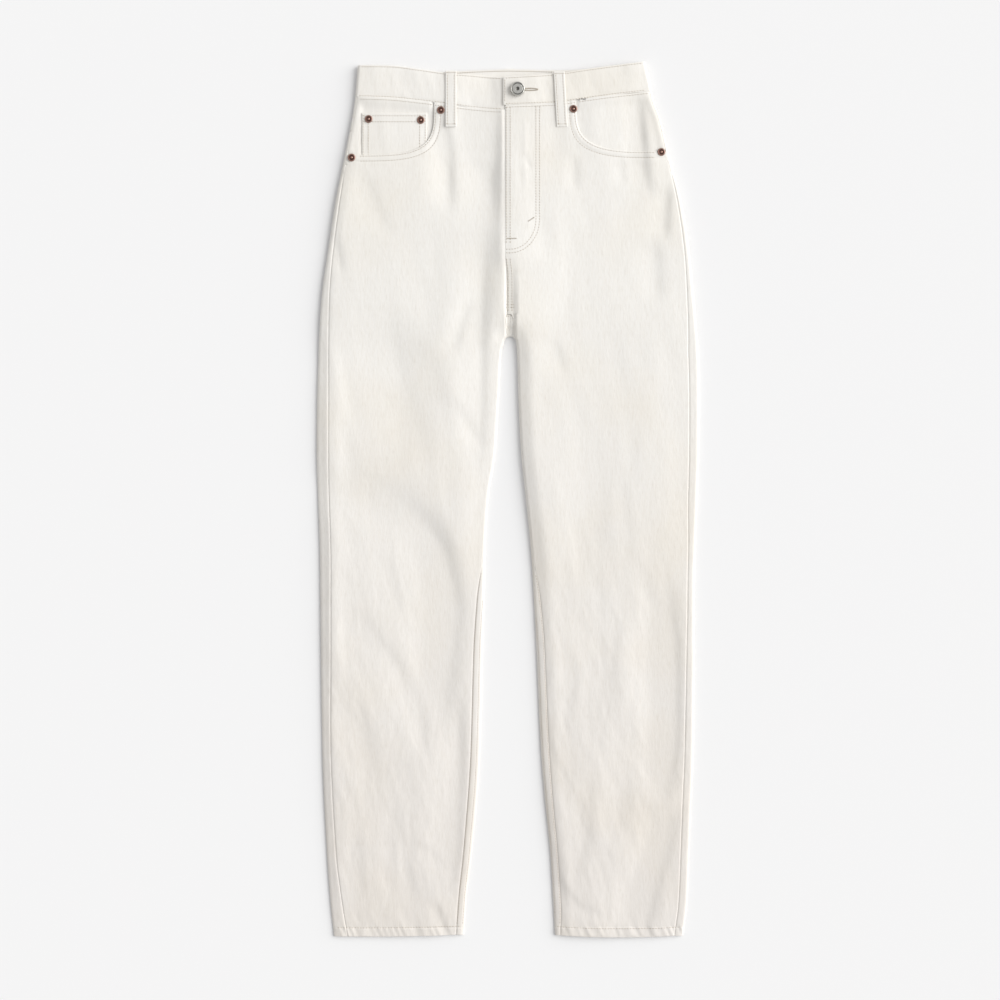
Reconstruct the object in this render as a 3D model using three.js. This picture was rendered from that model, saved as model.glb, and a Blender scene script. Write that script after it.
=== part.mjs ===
// Straight jeans in ecru denim, buttoned and laid flat with the front up.
// Millimetres. X runs across with the wearer's left at +X, Y runs from hem to waist, Z is up, and
// Z = 0 is the surface that the garment lies on. The origin is the middle of the outline on it.
import * as THREE from "three";

// Cloth walls and clearances
const WALL = 1.4; // one layer of denim
const HEM_WALL = 1.7; // the turned hem, thicker inwards
const HEM_DEPTH = 12;
const BAND_WALL = 2.4; // the waistband is two layers
const FACING_WALL = 1.2;
const COIN_WALL = 1;
const SEAM_GAP = 0.3; // between neighbouring pieces
const LAYER_GAP = 0.3; // between pieces that lie on each other
const FOLD_RUN = 3.5; // how far in from a folded edge the cloth takes to turn
const LEAST_AIR = 0.8; // between the front and the back layer
const MOST_AIR = 3.7;
const SOFTENING = 40; // over this inset the layers settle from the fold to the middle

// Centre, crotch and fly
const CENTRE_X = 2.4; // centre-front and centre-back seam
const SLOT_TOP_Y = 192; // fold at the crotch, top of the slot between the legs
const SLOT_RADIUS = 7;
const CROTCH_ROLL = 26; // how far the back rolls over the crotch fold onto the front
const LEG_ROLL = 4.5; // the same beside the slot
const FLY_EDGE_X = -3.5; // edge of the left front, on top
const FLY_UNDERLAP = 9.5; // the right front runs on below it
const FLY_BOTTOM_Y = 292;
const FLY_SEAM_Y = 284; // below this the fronts meet edge to edge
const FLY_DIP = 30; // width of the valley on the right of the fly
const FLY_RISE = 0.9;

// Waistband ends, in front
const BAND_LEFT_END_X = -5.5;
const BAND_RIGHT_END_X = 30;
const BAND_TOP = 7.8; // height of the band's upper face above the surface
const BAND_UNDER_TOP = 6.9; // the same where the right end runs below the left end
const BAND_OVER_TOP = 9.6;

// Underside
const SEAT_LIFT = 1.7; // the seat rests on the patch pockets and the belt loops
const SEAT_LIFT_FROM_Y = 150;
const SEAT_LIFT_TO_Y = 215;
const UNDER_PIECE_WALL = 1.4;

// One row for each level of a leg: distance of the folded edges from X = 0, and how far in from
// them the outseam and the inseam lie on the front.
const RIGHT_LEG = [
  { y: -516, outer: 205, inner: 52, outseam: 16, inseam: 9.5 },
  { y: -473, outer: 209.5, inner: 49.6, outseam: 13.6, inseam: 9 },
  { y: -414, outer: 213.6, inner: 42.5, outseam: 10.6, inseam: 10 },
  { y: -296, outer: 218.9, inner: 33, outseam: 10, inseam: 11 },
  { y: -178, outer: 220.7, inner: 30.1, outseam: 11.8, inseam: 10.5 },
  { y: -119, outer: 221.3, inner: 28.3, outseam: 12.4, inseam: 8.5 },
  { y: -60, outer: 222, inner: 27.1, outseam: 13, inseam: 5 },
  { y: 0, outer: 224, inner: 23.4, outseam: 13, inseam: 4.5 },
  { y: 58, outer: 225.6, inner: 14.6, outseam: 14, inseam: 4.5 },
  { y: 117, outer: 225, inner: 10.8, outseam: 13.5, inseam: 4.5 },
  { y: 176, outer: 223.4, inner: 7.4, outseam: 11.8, inseam: 4.5 },
  { y: 185, outer: 223, inner: 4.6, outseam: 11.5, inseam: 4.5 },
  { y: 235, outer: 219.5, inner: 0, outseam: 9.4, inseam: 0 },
  { y: 294, outer: 210, inner: 0, outseam: 6.5, inseam: 0 },
  { y: 353, outer: 201, inner: 0, outseam: 7, inseam: 0 },
  { y: 412, outer: 191, inner: 0, outseam: 9, inseam: 0 },
  { y: 471, outer: 180.5, inner: 0, outseam: 9, inseam: 0 },
  { y: 512, outer: 177, inner: 0, outseam: 9, inseam: 0 },
];
const LEFT_LEG = [
  { y: -516, outer: 206, inner: 55.7, outseam: 10, inseam: 6 },
  { y: -473, outer: 211.2, inner: 53.1, outseam: 10, inseam: 9 },
  { y: -414, outer: 213.6, inner: 49.6, outseam: 10, inseam: 8.5 },
  { y: -355, outer: 215.9, inner: 43.7, outseam: 10, inseam: 9 },
  { y: -296, outer: 218.3, inner: 38.9, outseam: 10, inseam: 9.5 },
  { y: -178, outer: 219.5, inner: 33.6, outseam: 9, inseam: 9.5 },
  { y: -119, outer: 219.5, inner: 30.7, outseam: 8, inseam: 7.5 },
  { y: -60, outer: 220.7, inner: 27.1, outseam: 8.3, inseam: 5 },
  { y: 0, outer: 223, inner: 21.2, outseam: 10.6, inseam: 4.5 },
  { y: 58, outer: 224.8, inner: 15.3, outseam: 11.2, inseam: 4.5 },
  { y: 117, outer: 225.6, inner: 12.4, outseam: 11.8, inseam: 4.5 },
  { y: 176, outer: 224.2, inner: 10.6, outseam: 11.8, inseam: 4.5 },
  { y: 185, outer: 223.6, inner: 9.4, outseam: 11, inseam: 4.5 },
  { y: 235, outer: 219.5, inner: 0, outseam: 8.3, inseam: 0 },
  { y: 294, outer: 213.6, inner: 0, outseam: 6, inseam: 0 },
  { y: 353, outer: 204.1, inner: 0, outseam: 5.6, inseam: 0 },
  { y: 400, outer: 191.2, inner: 0, outseam: 5.6, inseam: 0 },
  { y: 448, outer: 179.4, inner: 0, outseam: 5.6, inseam: 0 },
  { y: 471, outer: 171.1, inner: 0, outseam: 5.6, inseam: 0 },
  { y: 495, outer: 166.4, inner: 0, outseam: 5.6, inseam: 0 },
  { y: 516, outer: 161.7, inner: 0, outseam: 5.6, inseam: 0 },
];

// Space between the front and the back layer at each level: beside the folds and in the middle.
const AIR = [
  { y: -516, edge: 2, middle: 1.2 },
  { y: -300, edge: 2.2, middle: 1.9 },
  { y: 0, edge: 2.6, middle: 2.7 },
  { y: 200, edge: 2.8, middle: 3.2 },
  { y: 380, edge: 3.3, middle: 3.3 },
];

// Upper edge of the waistband and the seam under it, in front and behind
const BAND_FRONT_RIGHT = [
  { x: -180, top: 511.5, seam: 474 },
  { x: -139, top: 511, seam: 472.5 },
  { x: -104, top: 506.8, seam: 469 },
  { x: -74, top: 502.7, seam: 465.4 },
  { x: -40, top: 500, seam: 461 },
  { x: -4, top: 497.4, seam: 458.5 },
  { x: 30, top: 497.4, seam: 459 },
];
const BAND_FRONT_LEFT = [
  { x: -6, top: 497.4, seam: 464 },
  { x: 55, top: 501.5, seam: 466.5 },
  { x: 85, top: 505.8, seam: 470.5 },
  { x: 109, top: 509.2, seam: 474 },
  { x: 162, top: 516, seam: 480.5 },
];
const BAND_BACK = [
  { x: -180, top: 511.5, seam: 474 },
  { x: 2, top: 507, seam: 469.2 },
  { x: 162, top: 516, seam: 480.5 },
];

// The largest folds: troughs from one point to the next, with their depth and half width.
const TROUGHS = [
  { name: "knee upper", x0: -163, y0: 15, x1: -80, y1: -36, depth: 1.3, reach: 15 },
  { name: "knee lower", x0: -80, y0: -36, x1: -59, y1: -119, depth: 1.3, reach: 15 },
  { name: "shin right", x0: -59, y0: -119, x1: -66, y1: -225, depth: 0.9, reach: 13 },
  { name: "calf right", x0: -192, y0: -113, x1: -101, y1: -248, depth: 0.8, reach: 14 },
  { name: "ankle right", x0: -101, y0: -248, x1: -97, y1: -307, depth: 0.7, reach: 13 },
  { name: "fly side", x0: -27, y0: 282, x1: -26, y1: 58, depth: 1, reach: 12 },
  { name: "crotch", x0: 2.4, y0: 276, x1: 2.4, y1: 205, depth: 1.3, reach: 14 },
  { name: "hip left", x0: 193, y0: 353, x1: 189, y1: 312, depth: 0.7, reach: 10 },
  { name: "knee left", x0: 196, y0: -107, x1: 196, y1: -307, depth: 1, reach: 12 },
  { name: "shin left", x0: 180, y0: -350, x1: 212, y1: -358, depth: 0.8, reach: 11 },
];

// Pocket mouths: a flattened quarter ring round the corner of side seam and waist seam
const MOUTH_RIGHT = { width: 97, depth: 61, squareness: 3.9, cornerX: -184, waistY: 466.6 };
const MOUTH_LEFT = { width: 101, depth: 60, squareness: 3.7, cornerX: 181, waistY: 469.8 };
const FACING_UNDERLAP = 1.13; // the facing is this much wider than the mouth
const FACING_SIDE_UNDERLAP = 2; // it runs this far below the back at the side seam
const COIN = { outerX: -172, innerX: -95.5, topY: 455, bottomY: 398 };

// Back: yoke seam and patch pockets
const YOKE_CENTRE_Y = 407;
const YOKE_SIDE_Y = 434;
const BACK_POCKET = { innerX: 32, outerX: 166, topY: 396, sideY: 268, tipY: 246, lean: 6 };

// Belt loops: middle of each at its ends
const LOOP_WIDTH = 12.8;
const LOOP_WALL = 1.2;
const LOOP_ARCH = 0.5;
const LOOPS = [
  { name: "belt_loop_front_right", topX: -67.2, topY: 504.5, endX: -67.2, endY: 438.4, under: false },
  { name: "belt_loop_front_left", topX: 60, topY: 503.5, endX: 63.6, endY: 438.4, under: false },
  { name: "belt_loop_back_right", topX: -98, topY: 510, endX: -98, endY: 441, under: true },
  { name: "belt_loop_back_left", topX: 98, topY: 511, endX: 98, endY: 443, under: true },
  { name: "belt_loop_centre_back", topX: CENTRE_X, topY: 508, endX: CENTRE_X, endY: 438, under: true },
];

// Hardware
const BUTTON = { x: 11.2, y: 482.6, radius: 8.5, height: 4.6, shank: 4.2, segments: 24 };
const RIVET_RADIUS = 4.6;
const RIVET_HEIGHT = 1.7;
const RIVET_SEGMENTS = 12;
const RIVETS = [
  { name: "rivet_coin_outer", x: -164, y: 447.8, on: "coin" },
  { name: "rivet_coin_inner", x: -102.7, y: 446.6, on: "coin" },
  { name: "rivet_mouth_right", x: -79.1, y: 458.2, on: "front" },
  { name: "rivet_side_right", x: -184.1, y: 402.4, on: "front" },
  { name: "rivet_mouth_left", x: 77, y: 459.6, on: "front" },
  { name: "rivet_side_left", x: 180.5, y: 408.9, on: "front" },
];

// How finely the sections are drawn
const LEG_ROWS = 18;
const CROTCH_ROWS = 5;
const SEAT_ROWS = 6;
const MOUTH_ROWS = 9;
const YOKE_ROWS = 3;
const FRONT_COLUMNS = 11;
const UNDER_COLUMNS = 7;
const FOLD_ANGLES = [90, 40, 0, -40, -90];
const PATCH_CELLS = 5;
const BAND_COLUMNS = 15;
const BAND_ROWS = 2;
const LOOP_ROWS = 5;

const LEGS = { [-1]: RIGHT_LEG, 1: LEFT_LEG };
const HEMS = {
  [-1]: { outerY: -515, innerY: -513, sag: 0.9 },
  1: { outerY: -514.4, innerY: -513.6, sag: 2 },
};

const denim = () => new THREE.MeshStandardMaterial({ color: 0xefebe3, roughness: 0.93, metalness: 0 });
const silver = () => new THREE.MeshStandardMaterial({ color: 0x9b9a94, roughness: 0.35, metalness: 1 });
const copper = () => new THREE.MeshStandardMaterial({ color: 0x7a4b3c, roughness: 0.4, metalness: 1 });

const mix = (a, b, t) => a + (b - a) * t;
const clamp = (value, low, high) => Math.min(Math.max(value, low), high);
const radians = (degrees) => (degrees * Math.PI) / 180;

function smooth(t) {
  const s = clamp(t, 0, 1);
  return s * s * (3 - 2 * s);
}

// A column of a table at any place between its rows, on a smooth curve that never overshoots
function readTable(table, column, at, key = "y") {
  const last = table.length - 1;
  if (at <= table[0][key]) return table[0][column];
  if (at >= table[last][key]) return table[last][column];
  const row = table.findIndex((r) => r[key] > at) - 1;
  const step = (k) => table[k + 1][key] - table[k][key];
  const slope = (k) => (table[k + 1][column] - table[k][column]) / step(k);
  const tangent = (k) => {
    if (k === 0 || k === last) return slope(Math.min(k, last - 1));
    const before = slope(k - 1);
    const after = slope(k);
    return before * after <= 0 ? 0 : (2 * before * after) / (before + after);
  };
  const t = (at - table[row][key]) / step(row);
  const rise = table[row + 1][column] - table[row][column];
  const first = tangent(row) * step(row);
  const second = tangent(row + 1) * step(row);
  return table[row][column] + t * (first + t * (3 * rise - 2 * first - second + t * (first + second - 2 * rise)));
}

const legWidth = (side, column, y) => readTable(LEGS[side], column, y);
const sideOf = (x) => (x < CENTRE_X ? -1 : 1);

// How far a point lies in from the outer fold, and from the slot between the legs
const outerInset = (side, x, y) => legWidth(side, "outer", y) - side * x;

function slotInset(side, x, y) {
  const middleY = SLOT_TOP_Y - SLOT_RADIUS;
  if (y <= middleY) return side * x - legWidth(side, "inner", y);
  return Math.hypot(x - CENTRE_X, y - middleY) - SLOT_RADIUS;
}

// 0 on a folded edge, 1 where the cloth has turned flat
function turn(distance) {
  const t = clamp(distance / FOLD_RUN, 0, 1);
  return Math.sqrt(1 - (1 - t) ** 2);
}

function troughDepth(x, y) {
  return TROUGHS.reduce((sum, c) => {
    const length = Math.hypot(c.x1 - c.x0, c.y1 - c.y0);
    const along = ((x - c.x0) * (c.x1 - c.x0) + (y - c.y0) * (c.y1 - c.y0)) / length ** 2;
    const t = clamp(along, 0, 1);
    const away = Math.hypot(x - mix(c.x0, c.x1, t), y - mix(c.y0, c.y1, t));
    return sum + c.depth * Math.exp(-((away / c.reach) ** 2));
  }, 0);
}

// Space between the two layers of cloth at a point
function air(side, x, y) {
  const edge = readTable(AIR, "edge", y);
  const middle = readTable(AIR, "middle", y);
  const settled = smooth(outerInset(side, x, y) / SOFTENING) * smooth(slotInset(side, x, y) / SOFTENING);
  return clamp(mix(edge, middle, settled) - troughDepth(x, y), LEAST_AIR, MOST_AIR);
}

const seatLift = (y) => SEAT_LIFT * smooth((y - SEAT_LIFT_FROM_Y) / (SEAT_LIFT_TO_Y - SEAT_LIFT_FROM_Y));

// Height of the garment's outer face: face 1 is the front, on top, and face -1 is the underside
function skin(x, y, face) {
  const side = sideOf(x);
  const low = seatLift(y);
  const high = low + 2 * WALL + air(side, x, y);
  const open = turn(outerInset(side, x, y)) * turn(slotInset(side, x, y));
  return (low + high) / 2 + (face * open * (high - low)) / 2;
}

// The right front dips to run below the left front, which rises over it.
function frontSkin(side, x, y) {
  const flyLength = smooth((y - FLY_SEAM_Y + FLY_DIP) / FLY_DIP);
  const dip = (WALL + LAYER_GAP) * smooth((x - FLY_EDGE_X + FLY_DIP) / (0.8 * FLY_DIP)) * flyLength;
  const rise = FLY_RISE * (1 - smooth((x - FLY_DIP) / FLY_DIP)) * flyLength;
  return skin(x, y, 1) + (side < 0 ? -dip : rise);
}

// One layer of cloth as a closed solid. Rows hold the points of its outer face; a row may be shorter
// than the one before it. The inner face is moved in by the wall, and a rim joins the two.
function clothLayer(rows, outward, wall, keep = (p) => p) {
  const wallAt = typeof wall === "function" ? wall : () => wall;
  const index = [];
  const outer = [];
  rows.forEach((row) => {
    index.push(row.map((p, j) => outer.length + j));
    outer.push(...row);
  });
  const at = (i, j) => rows[clamp(i, 0, rows.length - 1)][j];
  const normalAt = (i, j) => {
    const row = rows[i];
    const across = row[Math.min(j + 1, row.length - 1)].clone().sub(row[Math.max(j - 1, 0)]);
    const next = at(i + 1, j) ?? row[j];
    const before = at(i - 1, j) ?? row[j];
    return across.cross(next.clone().sub(before)).normalize().multiplyScalar(outward);
  };
  const inner = rows.flatMap((row, i) =>
    row.map((p, j) => keep(p.clone().addScaledVector(normalAt(i, j), -wallAt(p)))),
  );
  const quads = [];
  for (let i = 0; i + 1 < rows.length; i += 1) {
    const cells = Math.min(rows[i].length, rows[i + 1].length) - 1;
    for (let j = 0; j < cells; j += 1) {
      const corners = [index[i][j], index[i][j + 1], index[i + 1][j + 1], index[i + 1][j]];
      quads.push(outward > 0 ? corners : corners.reverse());
    }
  }
  return closedSolid(outer, inner, quads);
}

function closedSolid(outer, inner, quads) {
  const shift = outer.length;
  const edges = new Set();
  const faces = [];
  quads.forEach((q) => {
    faces.push(q, q.map((k) => k + shift).reverse());
    q.forEach((a, k) => edges.add(a + "," + q[(k + 1) % 4]));
  });
  edges.forEach((edge) => {
    const [a, b] = edge.split(",").map(Number);
    if (!edges.has(b + "," + a)) faces.push([b, a, a + shift, b + shift]);
  });
  const positions = [...outer, ...inner].flatMap((p) => [p.x, p.y, p.z]);
  const triangles = faces.flatMap(([a, b, c, d]) => [a, b, c, a, c, d]);
  const geometry = new THREE.BufferGeometry();
  geometry.setAttribute("position", new THREE.Float32BufferAttribute(positions, 3));
  geometry.setIndex(triangles);
  geometry.computeVertexNormals();
  return geometry;
}

// Points of a four-sided patch of cloth, drawn between its four edges
function patchPoints(low, high, first, last, cells, height) {
  const rows = [];
  for (let i = 0; i <= cells; i += 1) {
    const v = i / cells;
    const row = [];
    for (let j = 0; j <= cells; j += 1) {
      const u = j / cells;
      const between = (k) =>
        mix(low(u)[k], high(u)[k], v) +
        mix(first(v)[k], last(v)[k], u) -
        mix(mix(low(0)[k], low(1)[k], u), mix(high(0)[k], high(1)[k], u), v);
      const x = between(0);
      const y = between(1);
      row.push(new THREE.Vector3(x, y, height(x, y)));
    }
    rows.push(row);
  }
  return rows;
}

const straight = (a, b) => (t) => [mix(a[0], b[0], t), mix(a[1], b[1], t)];

// Levels of a leg from hem to crotch, then round the end of the slot
function legLevels(side) {
  const hem = HEMS[side];
  const crotchY = SLOT_TOP_Y - SLOT_RADIUS;
  const levels = [{ outerY: hem.outerY, innerY: hem.innerY, sag: hem.sag, angle: 0 }];
  for (let i = 0; i <= LEG_ROWS; i += 1) {
    const y = mix(hem.outerY + HEM_DEPTH, crotchY, i / LEG_ROWS);
    levels.push({ outerY: y, innerY: y, sag: i === 0 ? hem.sag : 0, angle: 0 });
  }
  for (let i = 1; i <= CROTCH_ROWS; i += 1) {
    const t = i / CROTCH_ROWS;
    levels.push({ outerY: mix(crotchY, crotchY + CROTCH_ROLL + 20, t), innerY: crotchY, sag: 0, angle: 90 * t });
  }
  return levels;
}

// A point near the outer fold, at a distance in from it
const outerPoint = (side, level, inset) => [side * (legWidth(side, "outer", level.outerY) - inset), level.outerY];

// A point near the slot, at a distance from its edge; past the leg it swings round the slot's end.
function innerPoint(side, level, inset) {
  if (level.angle === 0) return [side * (legWidth(side, "inner", level.innerY) + inset), level.innerY];
  const angle = radians(level.angle);
  const reach = SLOT_RADIUS + inset;
  const x = CENTRE_X + side * reach * Math.cos(angle);
  const edge = CENTRE_X + (side * SEAM_GAP) / 2;
  return [side * Math.max(side * x, side * edge), level.innerY + reach * Math.sin(angle)];
}

const outseamInset = (side, level) => legWidth(side, "outseam", level.outerY);

function inseamInset(side, level) {
  if (level.angle === 0) return legWidth(side, "inseam", level.innerY);
  return mix(LEG_ROLL, CROTCH_ROLL, smooth(level.angle / 90));
}

function spread(from, to, cells, sag, height) {
  const points = [];
  for (let j = 0; j <= cells; j += 1) {
    const t = j / cells;
    const x = mix(from[0], to[0], t);
    const y = mix(from[1], to[1], t) - 4 * sag * t * (1 - t);
    points.push(new THREE.Vector3(x, y, height(x, y)));
  }
  return points;
}

const bandTable = (side) => (side < 0 ? BAND_FRONT_RIGHT : BAND_FRONT_LEFT);
const hemWall = (p) => (p.y < HEMS[-1].outerY + HEM_DEPTH + 1 ? HEM_WALL : WALL);

function mouthPoint(mouth, side, angle, scale = 1) {
  const power = 2 / mouth.squareness;
  const x = mouth.cornerX - side * mouth.width * scale * Math.cos(radians(angle)) ** power;
  return [x, mouth.waistY - mouth.depth * scale * Math.sin(radians(angle)) ** power];
}

// Where the front ends at the middle: under the fly the right front runs on, below it both meet.
function frontCentreX(side, y) {
  const seam = CENTRE_X + (side * SEAM_GAP) / 2;
  const fly = side < 0 ? FLY_EDGE_X + FLY_UNDERLAP : FLY_EDGE_X;
  return mix(seam, fly, smooth((y - FLY_SEAM_Y) / (FLY_BOTTOM_Y - FLY_SEAM_Y)));
}

function frontPanel(side) {
  const mouth = side < 0 ? MOUTH_RIGHT : MOUTH_LEFT;
  const height = (x, y) => frontSkin(side, x, y);
  const rows = legLevels(side).map((level) => {
    const from = outerPoint(side, level, outseamInset(side, level));
    const to = innerPoint(side, level, inseamInset(side, level));
    return spread(from, to, FRONT_COLUMNS, level.sag, height);
  });
  const top = rows[rows.length - 1];
  const startY = { outer: top[0].y, centre: top[FRONT_COLUMNS].y };
  const cornerY = mouth.waistY - mouth.depth;
  const cornerCentreY = cornerY - 14;
  for (let i = 1; i <= SEAT_ROWS; i += 1) {
    const level = { outerY: mix(startY.outer, cornerY, i / SEAT_ROWS) };
    const centreY = mix(startY.centre, cornerCentreY, i / SEAT_ROWS);
    const from = outerPoint(side, level, outseamInset(side, level));
    rows.push(spread(from, [frontCentreX(side, centreY), centreY], FRONT_COLUMNS, 0, height));
  }
  for (let i = 1; i <= MOUTH_ROWS; i += 1) {
    const t = i / MOUTH_ROWS;
    const from = mouthPoint(mouth, side, 90 * (1 - t));
    const toX = frontCentreX(side, mouth.waistY);
    const waistY = (x) => readTable(bandTable(side), "seam", x, "x") - SEAM_GAP;
    const centreY = mix(cornerCentreY, waistY(toX), t);
    const row = spread(from, [toX, centreY], FRONT_COLUMNS, 0, height);
    if (i === MOUTH_ROWS) row.forEach((p) => p.setY(waistY(p.x)));
    rows.push(row);
  }
  return clothLayer(rows, -side, hemWall);
}

// Insets of a fold's points, from the flat above it round to the flat below
const foldPoints = FOLD_ANGLES.map((angle) => ({
  inset: FOLD_RUN * (1 - Math.cos(radians(angle))),
  face: angle >= 0 ? 1 : -1,
}));

// From the outseam round the outer fold, then across the underside to a point
function underRow(side, level, to, height) {
  const place = ([x, y], face) => new THREE.Vector3(x, y, height(x, y, face));
  const outseam = outerPoint(side, level, outseamInset(side, level) - SEAM_GAP);
  const fold = foldPoints.map((f) => place(outerPoint(side, level, f.inset), f.face));
  const across = spread(outerPoint(side, level, FOLD_RUN), to, UNDER_COLUMNS, level.sag, (x, y) => height(x, y, -1));
  return [place(outseam, 1), ...fold, ...across.slice(1)];
}

function backPanel(side) {
  const edgeX = CENTRE_X + (side * SEAM_GAP) / 2;
  const rows = legLevels(side).map((level) => {
    const row = underRow(side, level, innerPoint(side, level, FOLD_RUN), skin);
    const fold = [...foldPoints].reverse().slice(1);
    const rolled = [...fold, { inset: inseamInset(side, level) - SEAM_GAP, face: 1 }].map((f) => {
      const [x, y] = innerPoint(side, level, f.inset);
      return new THREE.Vector3(x, y, skin(x, y, f.face));
    });
    return [...row, ...rolled];
  });
  const startY = legLevels(side).at(-1).outerY;
  for (let i = 1; i <= SEAT_ROWS + 1; i += 1) {
    const t = i / (SEAT_ROWS + 1);
    const level = { outerY: mix(startY, YOKE_SIDE_Y, t), sag: 0 };
    const centreY = mix(SLOT_TOP_Y + FOLD_RUN, YOKE_CENTRE_Y, t);
    rows.push(underRow(side, level, [edgeX, centreY], skin));
  }
  const keep = (p) => p.setX(side * Math.max(side * p.x, p.y > SLOT_TOP_Y - SLOT_RADIUS ? side * edgeX : -Infinity));
  return clothLayer(rows, side, hemWall, keep);
}

function yoke(side) {
  const edgeX = CENTRE_X + (side * SEAM_GAP) / 2;
  const rows = [];
  for (let i = 0; i <= YOKE_ROWS; i += 1) {
    const t = i / YOKE_ROWS;
    const sideX = side * legWidth(side, "outer", YOKE_SIDE_Y);
    const waistY = (x) => readTable(BAND_BACK, "seam", x, "x") - SEAM_GAP;
    const level = { outerY: mix(YOKE_SIDE_Y + SEAM_GAP, waistY(sideX), t), sag: 0 };
    const centreY = mix(YOKE_CENTRE_Y + SEAM_GAP, waistY(edgeX), t);
    const row = underRow(side, level, [edgeX, centreY], skin);
    if (i === YOKE_ROWS) row.forEach((p) => p.setY(waistY(p.x)));
    rows.push(row);
  }
  return clothLayer(rows, side, WALL);
}

// Facing that shows in a pocket mouth, tucked under the front and, at the side, under the back
function pocketFacing(side) {
  const mouth = side < 0 ? MOUTH_RIGHT : MOUTH_LEFT;
  const drop = WALL + LAYER_GAP + (side < 0 ? COIN_WALL + LAYER_GAP : 0);
  const topY = (x) => readTable(bandTable(side), "seam", x, "x") - SEAM_GAP;
  const cornerAngle = 45;
  const sideX = (y) => side * (legWidth(side, "outer", y) - legWidth(side, "outseam", y) + FACING_SIDE_UNDERLAP);
  const edge = (angle) => mouthPoint(mouth, side, angle, FACING_UNDERLAP);
  const waistEnd = [edge(0)[0], topY(edge(0)[0])];
  const lowY = edge(90)[1];
  const inLine = ([x, y], t) => [x, mix(y, y + waistEnd[1] - mouth.waistY, t)];
  const low = (u) => (u === 0 ? [sideX(lowY), lowY] : edge(mix(90, cornerAngle, u)));
  const last = (v) => inLine(edge(mix(cornerAngle, 0, v)), v);
  const first = (v) => {
    const y = mix(lowY, topY(sideX(waistEnd[1])), v);
    return [sideX(y), y];
  };
  const high = (u) => {
    const x = mix(first(1)[0], waistEnd[0], u);
    return [x, topY(x)];
  };
  const rows = patchPoints(low, high, first, last, PATCH_CELLS, (x, y) => skin(x, y, 1) - drop);
  return clothLayer(rows, -side, FACING_WALL);
}

function coinPocket() {
  const at = (x, y) => [x, y];
  const low = straight(at(COIN.outerX, COIN.bottomY), at(COIN.innerX, COIN.bottomY));
  const high = straight(at(COIN.outerX, COIN.topY), at(COIN.innerX, COIN.topY));
  const first = straight(low(0), high(0));
  const last = straight(low(1), high(1));
  const drop = WALL + LAYER_GAP;
  const rows = patchPoints(low, high, first, last, PATCH_CELLS, (x, y) => skin(x, y, 1) - drop);
  return clothLayer(rows, 1, COIN_WALL);
}

// Patch pocket under the seat, with a pointed lower edge
function backPocket(side) {
  const p = BACK_POCKET;
  const x = (inward, y) => side * (inward + (p.lean * (p.topY - y)) / (p.topY - p.tipY));
  const tipX = (p.innerX + p.outerX) / 2;
  const low = (u) => {
    const y = p.tipY + (p.sideY - p.tipY) * Math.abs(2 * u - 1);
    return [u < 0.5 ? mix(x(p.outerX, y), x(tipX, y), 2 * u) : mix(x(tipX, y), x(p.innerX, y), 2 * u - 1), y];
  };
  const high = straight([x(p.outerX, p.topY), p.topY], [x(p.innerX, p.topY), p.topY]);
  const rows = patchPoints(low, high, straight(low(0), high(0)), straight(low(1), high(1)), PATCH_CELLS + 1, () => 0);
  return clothLayer(rows, side, UNDER_PIECE_WALL);
}

function bandTop(side, x) {
  if (side < 0) return mix(BAND_TOP, BAND_UNDER_TOP, smooth((x + 2 * FLY_DIP) / FLY_DIP));
  return mix(BAND_OVER_TOP, BAND_TOP, smooth((x - FLY_DIP + 4) / (0.8 * FLY_DIP)));
}

// The waistband as columns round the garment: right end, right fold, back, left fold, left end
function waistband() {
  const columns = [];
  const addColumn = (side, place, table, face) => columns.push({ side, place, table, face });
  const frontColumns = (side, endX) => {
    const list = [];
    for (let j = 0; j <= BAND_COLUMNS; j += 1) {
      const t = j / BAND_COLUMNS;
      list.push((y) => mix(endX, side * (legWidth(side, "outer", y) - FOLD_RUN), t));
    }
    return list;
  };
  const folds = (side) => foldPoints.slice(1, -1).map((f) => (y) => side * (legWidth(side, "outer", y) - f.inset));
  frontColumns(-1, BAND_RIGHT_END_X).forEach((place) => addColumn(-1, place, BAND_FRONT_RIGHT, 1));
  folds(-1).forEach((place, k) => addColumn(-1, place, BAND_BACK, k < 2 ? 1 : -1));
  const back = [-1, 1].flatMap((side) => {
    const list = frontColumns(side, CENTRE_X).map((place) => ({ side, place }));
    return side < 0 ? list.reverse() : list.slice(1);
  });
  back.forEach(({ side, place }) => addColumn(side, place, BAND_BACK, -1));
  folds(1).reverse().forEach((place, k) => addColumn(1, place, BAND_BACK, k < 1 ? -1 : 1));
  frontColumns(1, BAND_LEFT_END_X).reverse().forEach((place) => addColumn(1, place, BAND_FRONT_LEFT, 1));
  const rows = [];
  for (let i = 0; i <= BAND_ROWS; i += 1) {
    rows.push(
      columns.map(({ side, place, table, face }) => {
        const level = (x) => mix(readTable(table, "seam", x, "x"), readTable(table, "top", x, "x"), i / BAND_ROWS);
        const y = level(place(level(place(BAND_FRONT_LEFT[0].top))));
        const x = place(y);
        const high = bandTop(side, x);
        const open = turn(outerInset(side, x, y));
        return new THREE.Vector3(x, y, (SEAT_LIFT + high) / 2 + (face * open * (high - SEAT_LIFT)) / 2);
      }),
    );
  }
  return clothLayer(rows, -1, BAND_WALL);
}

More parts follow.
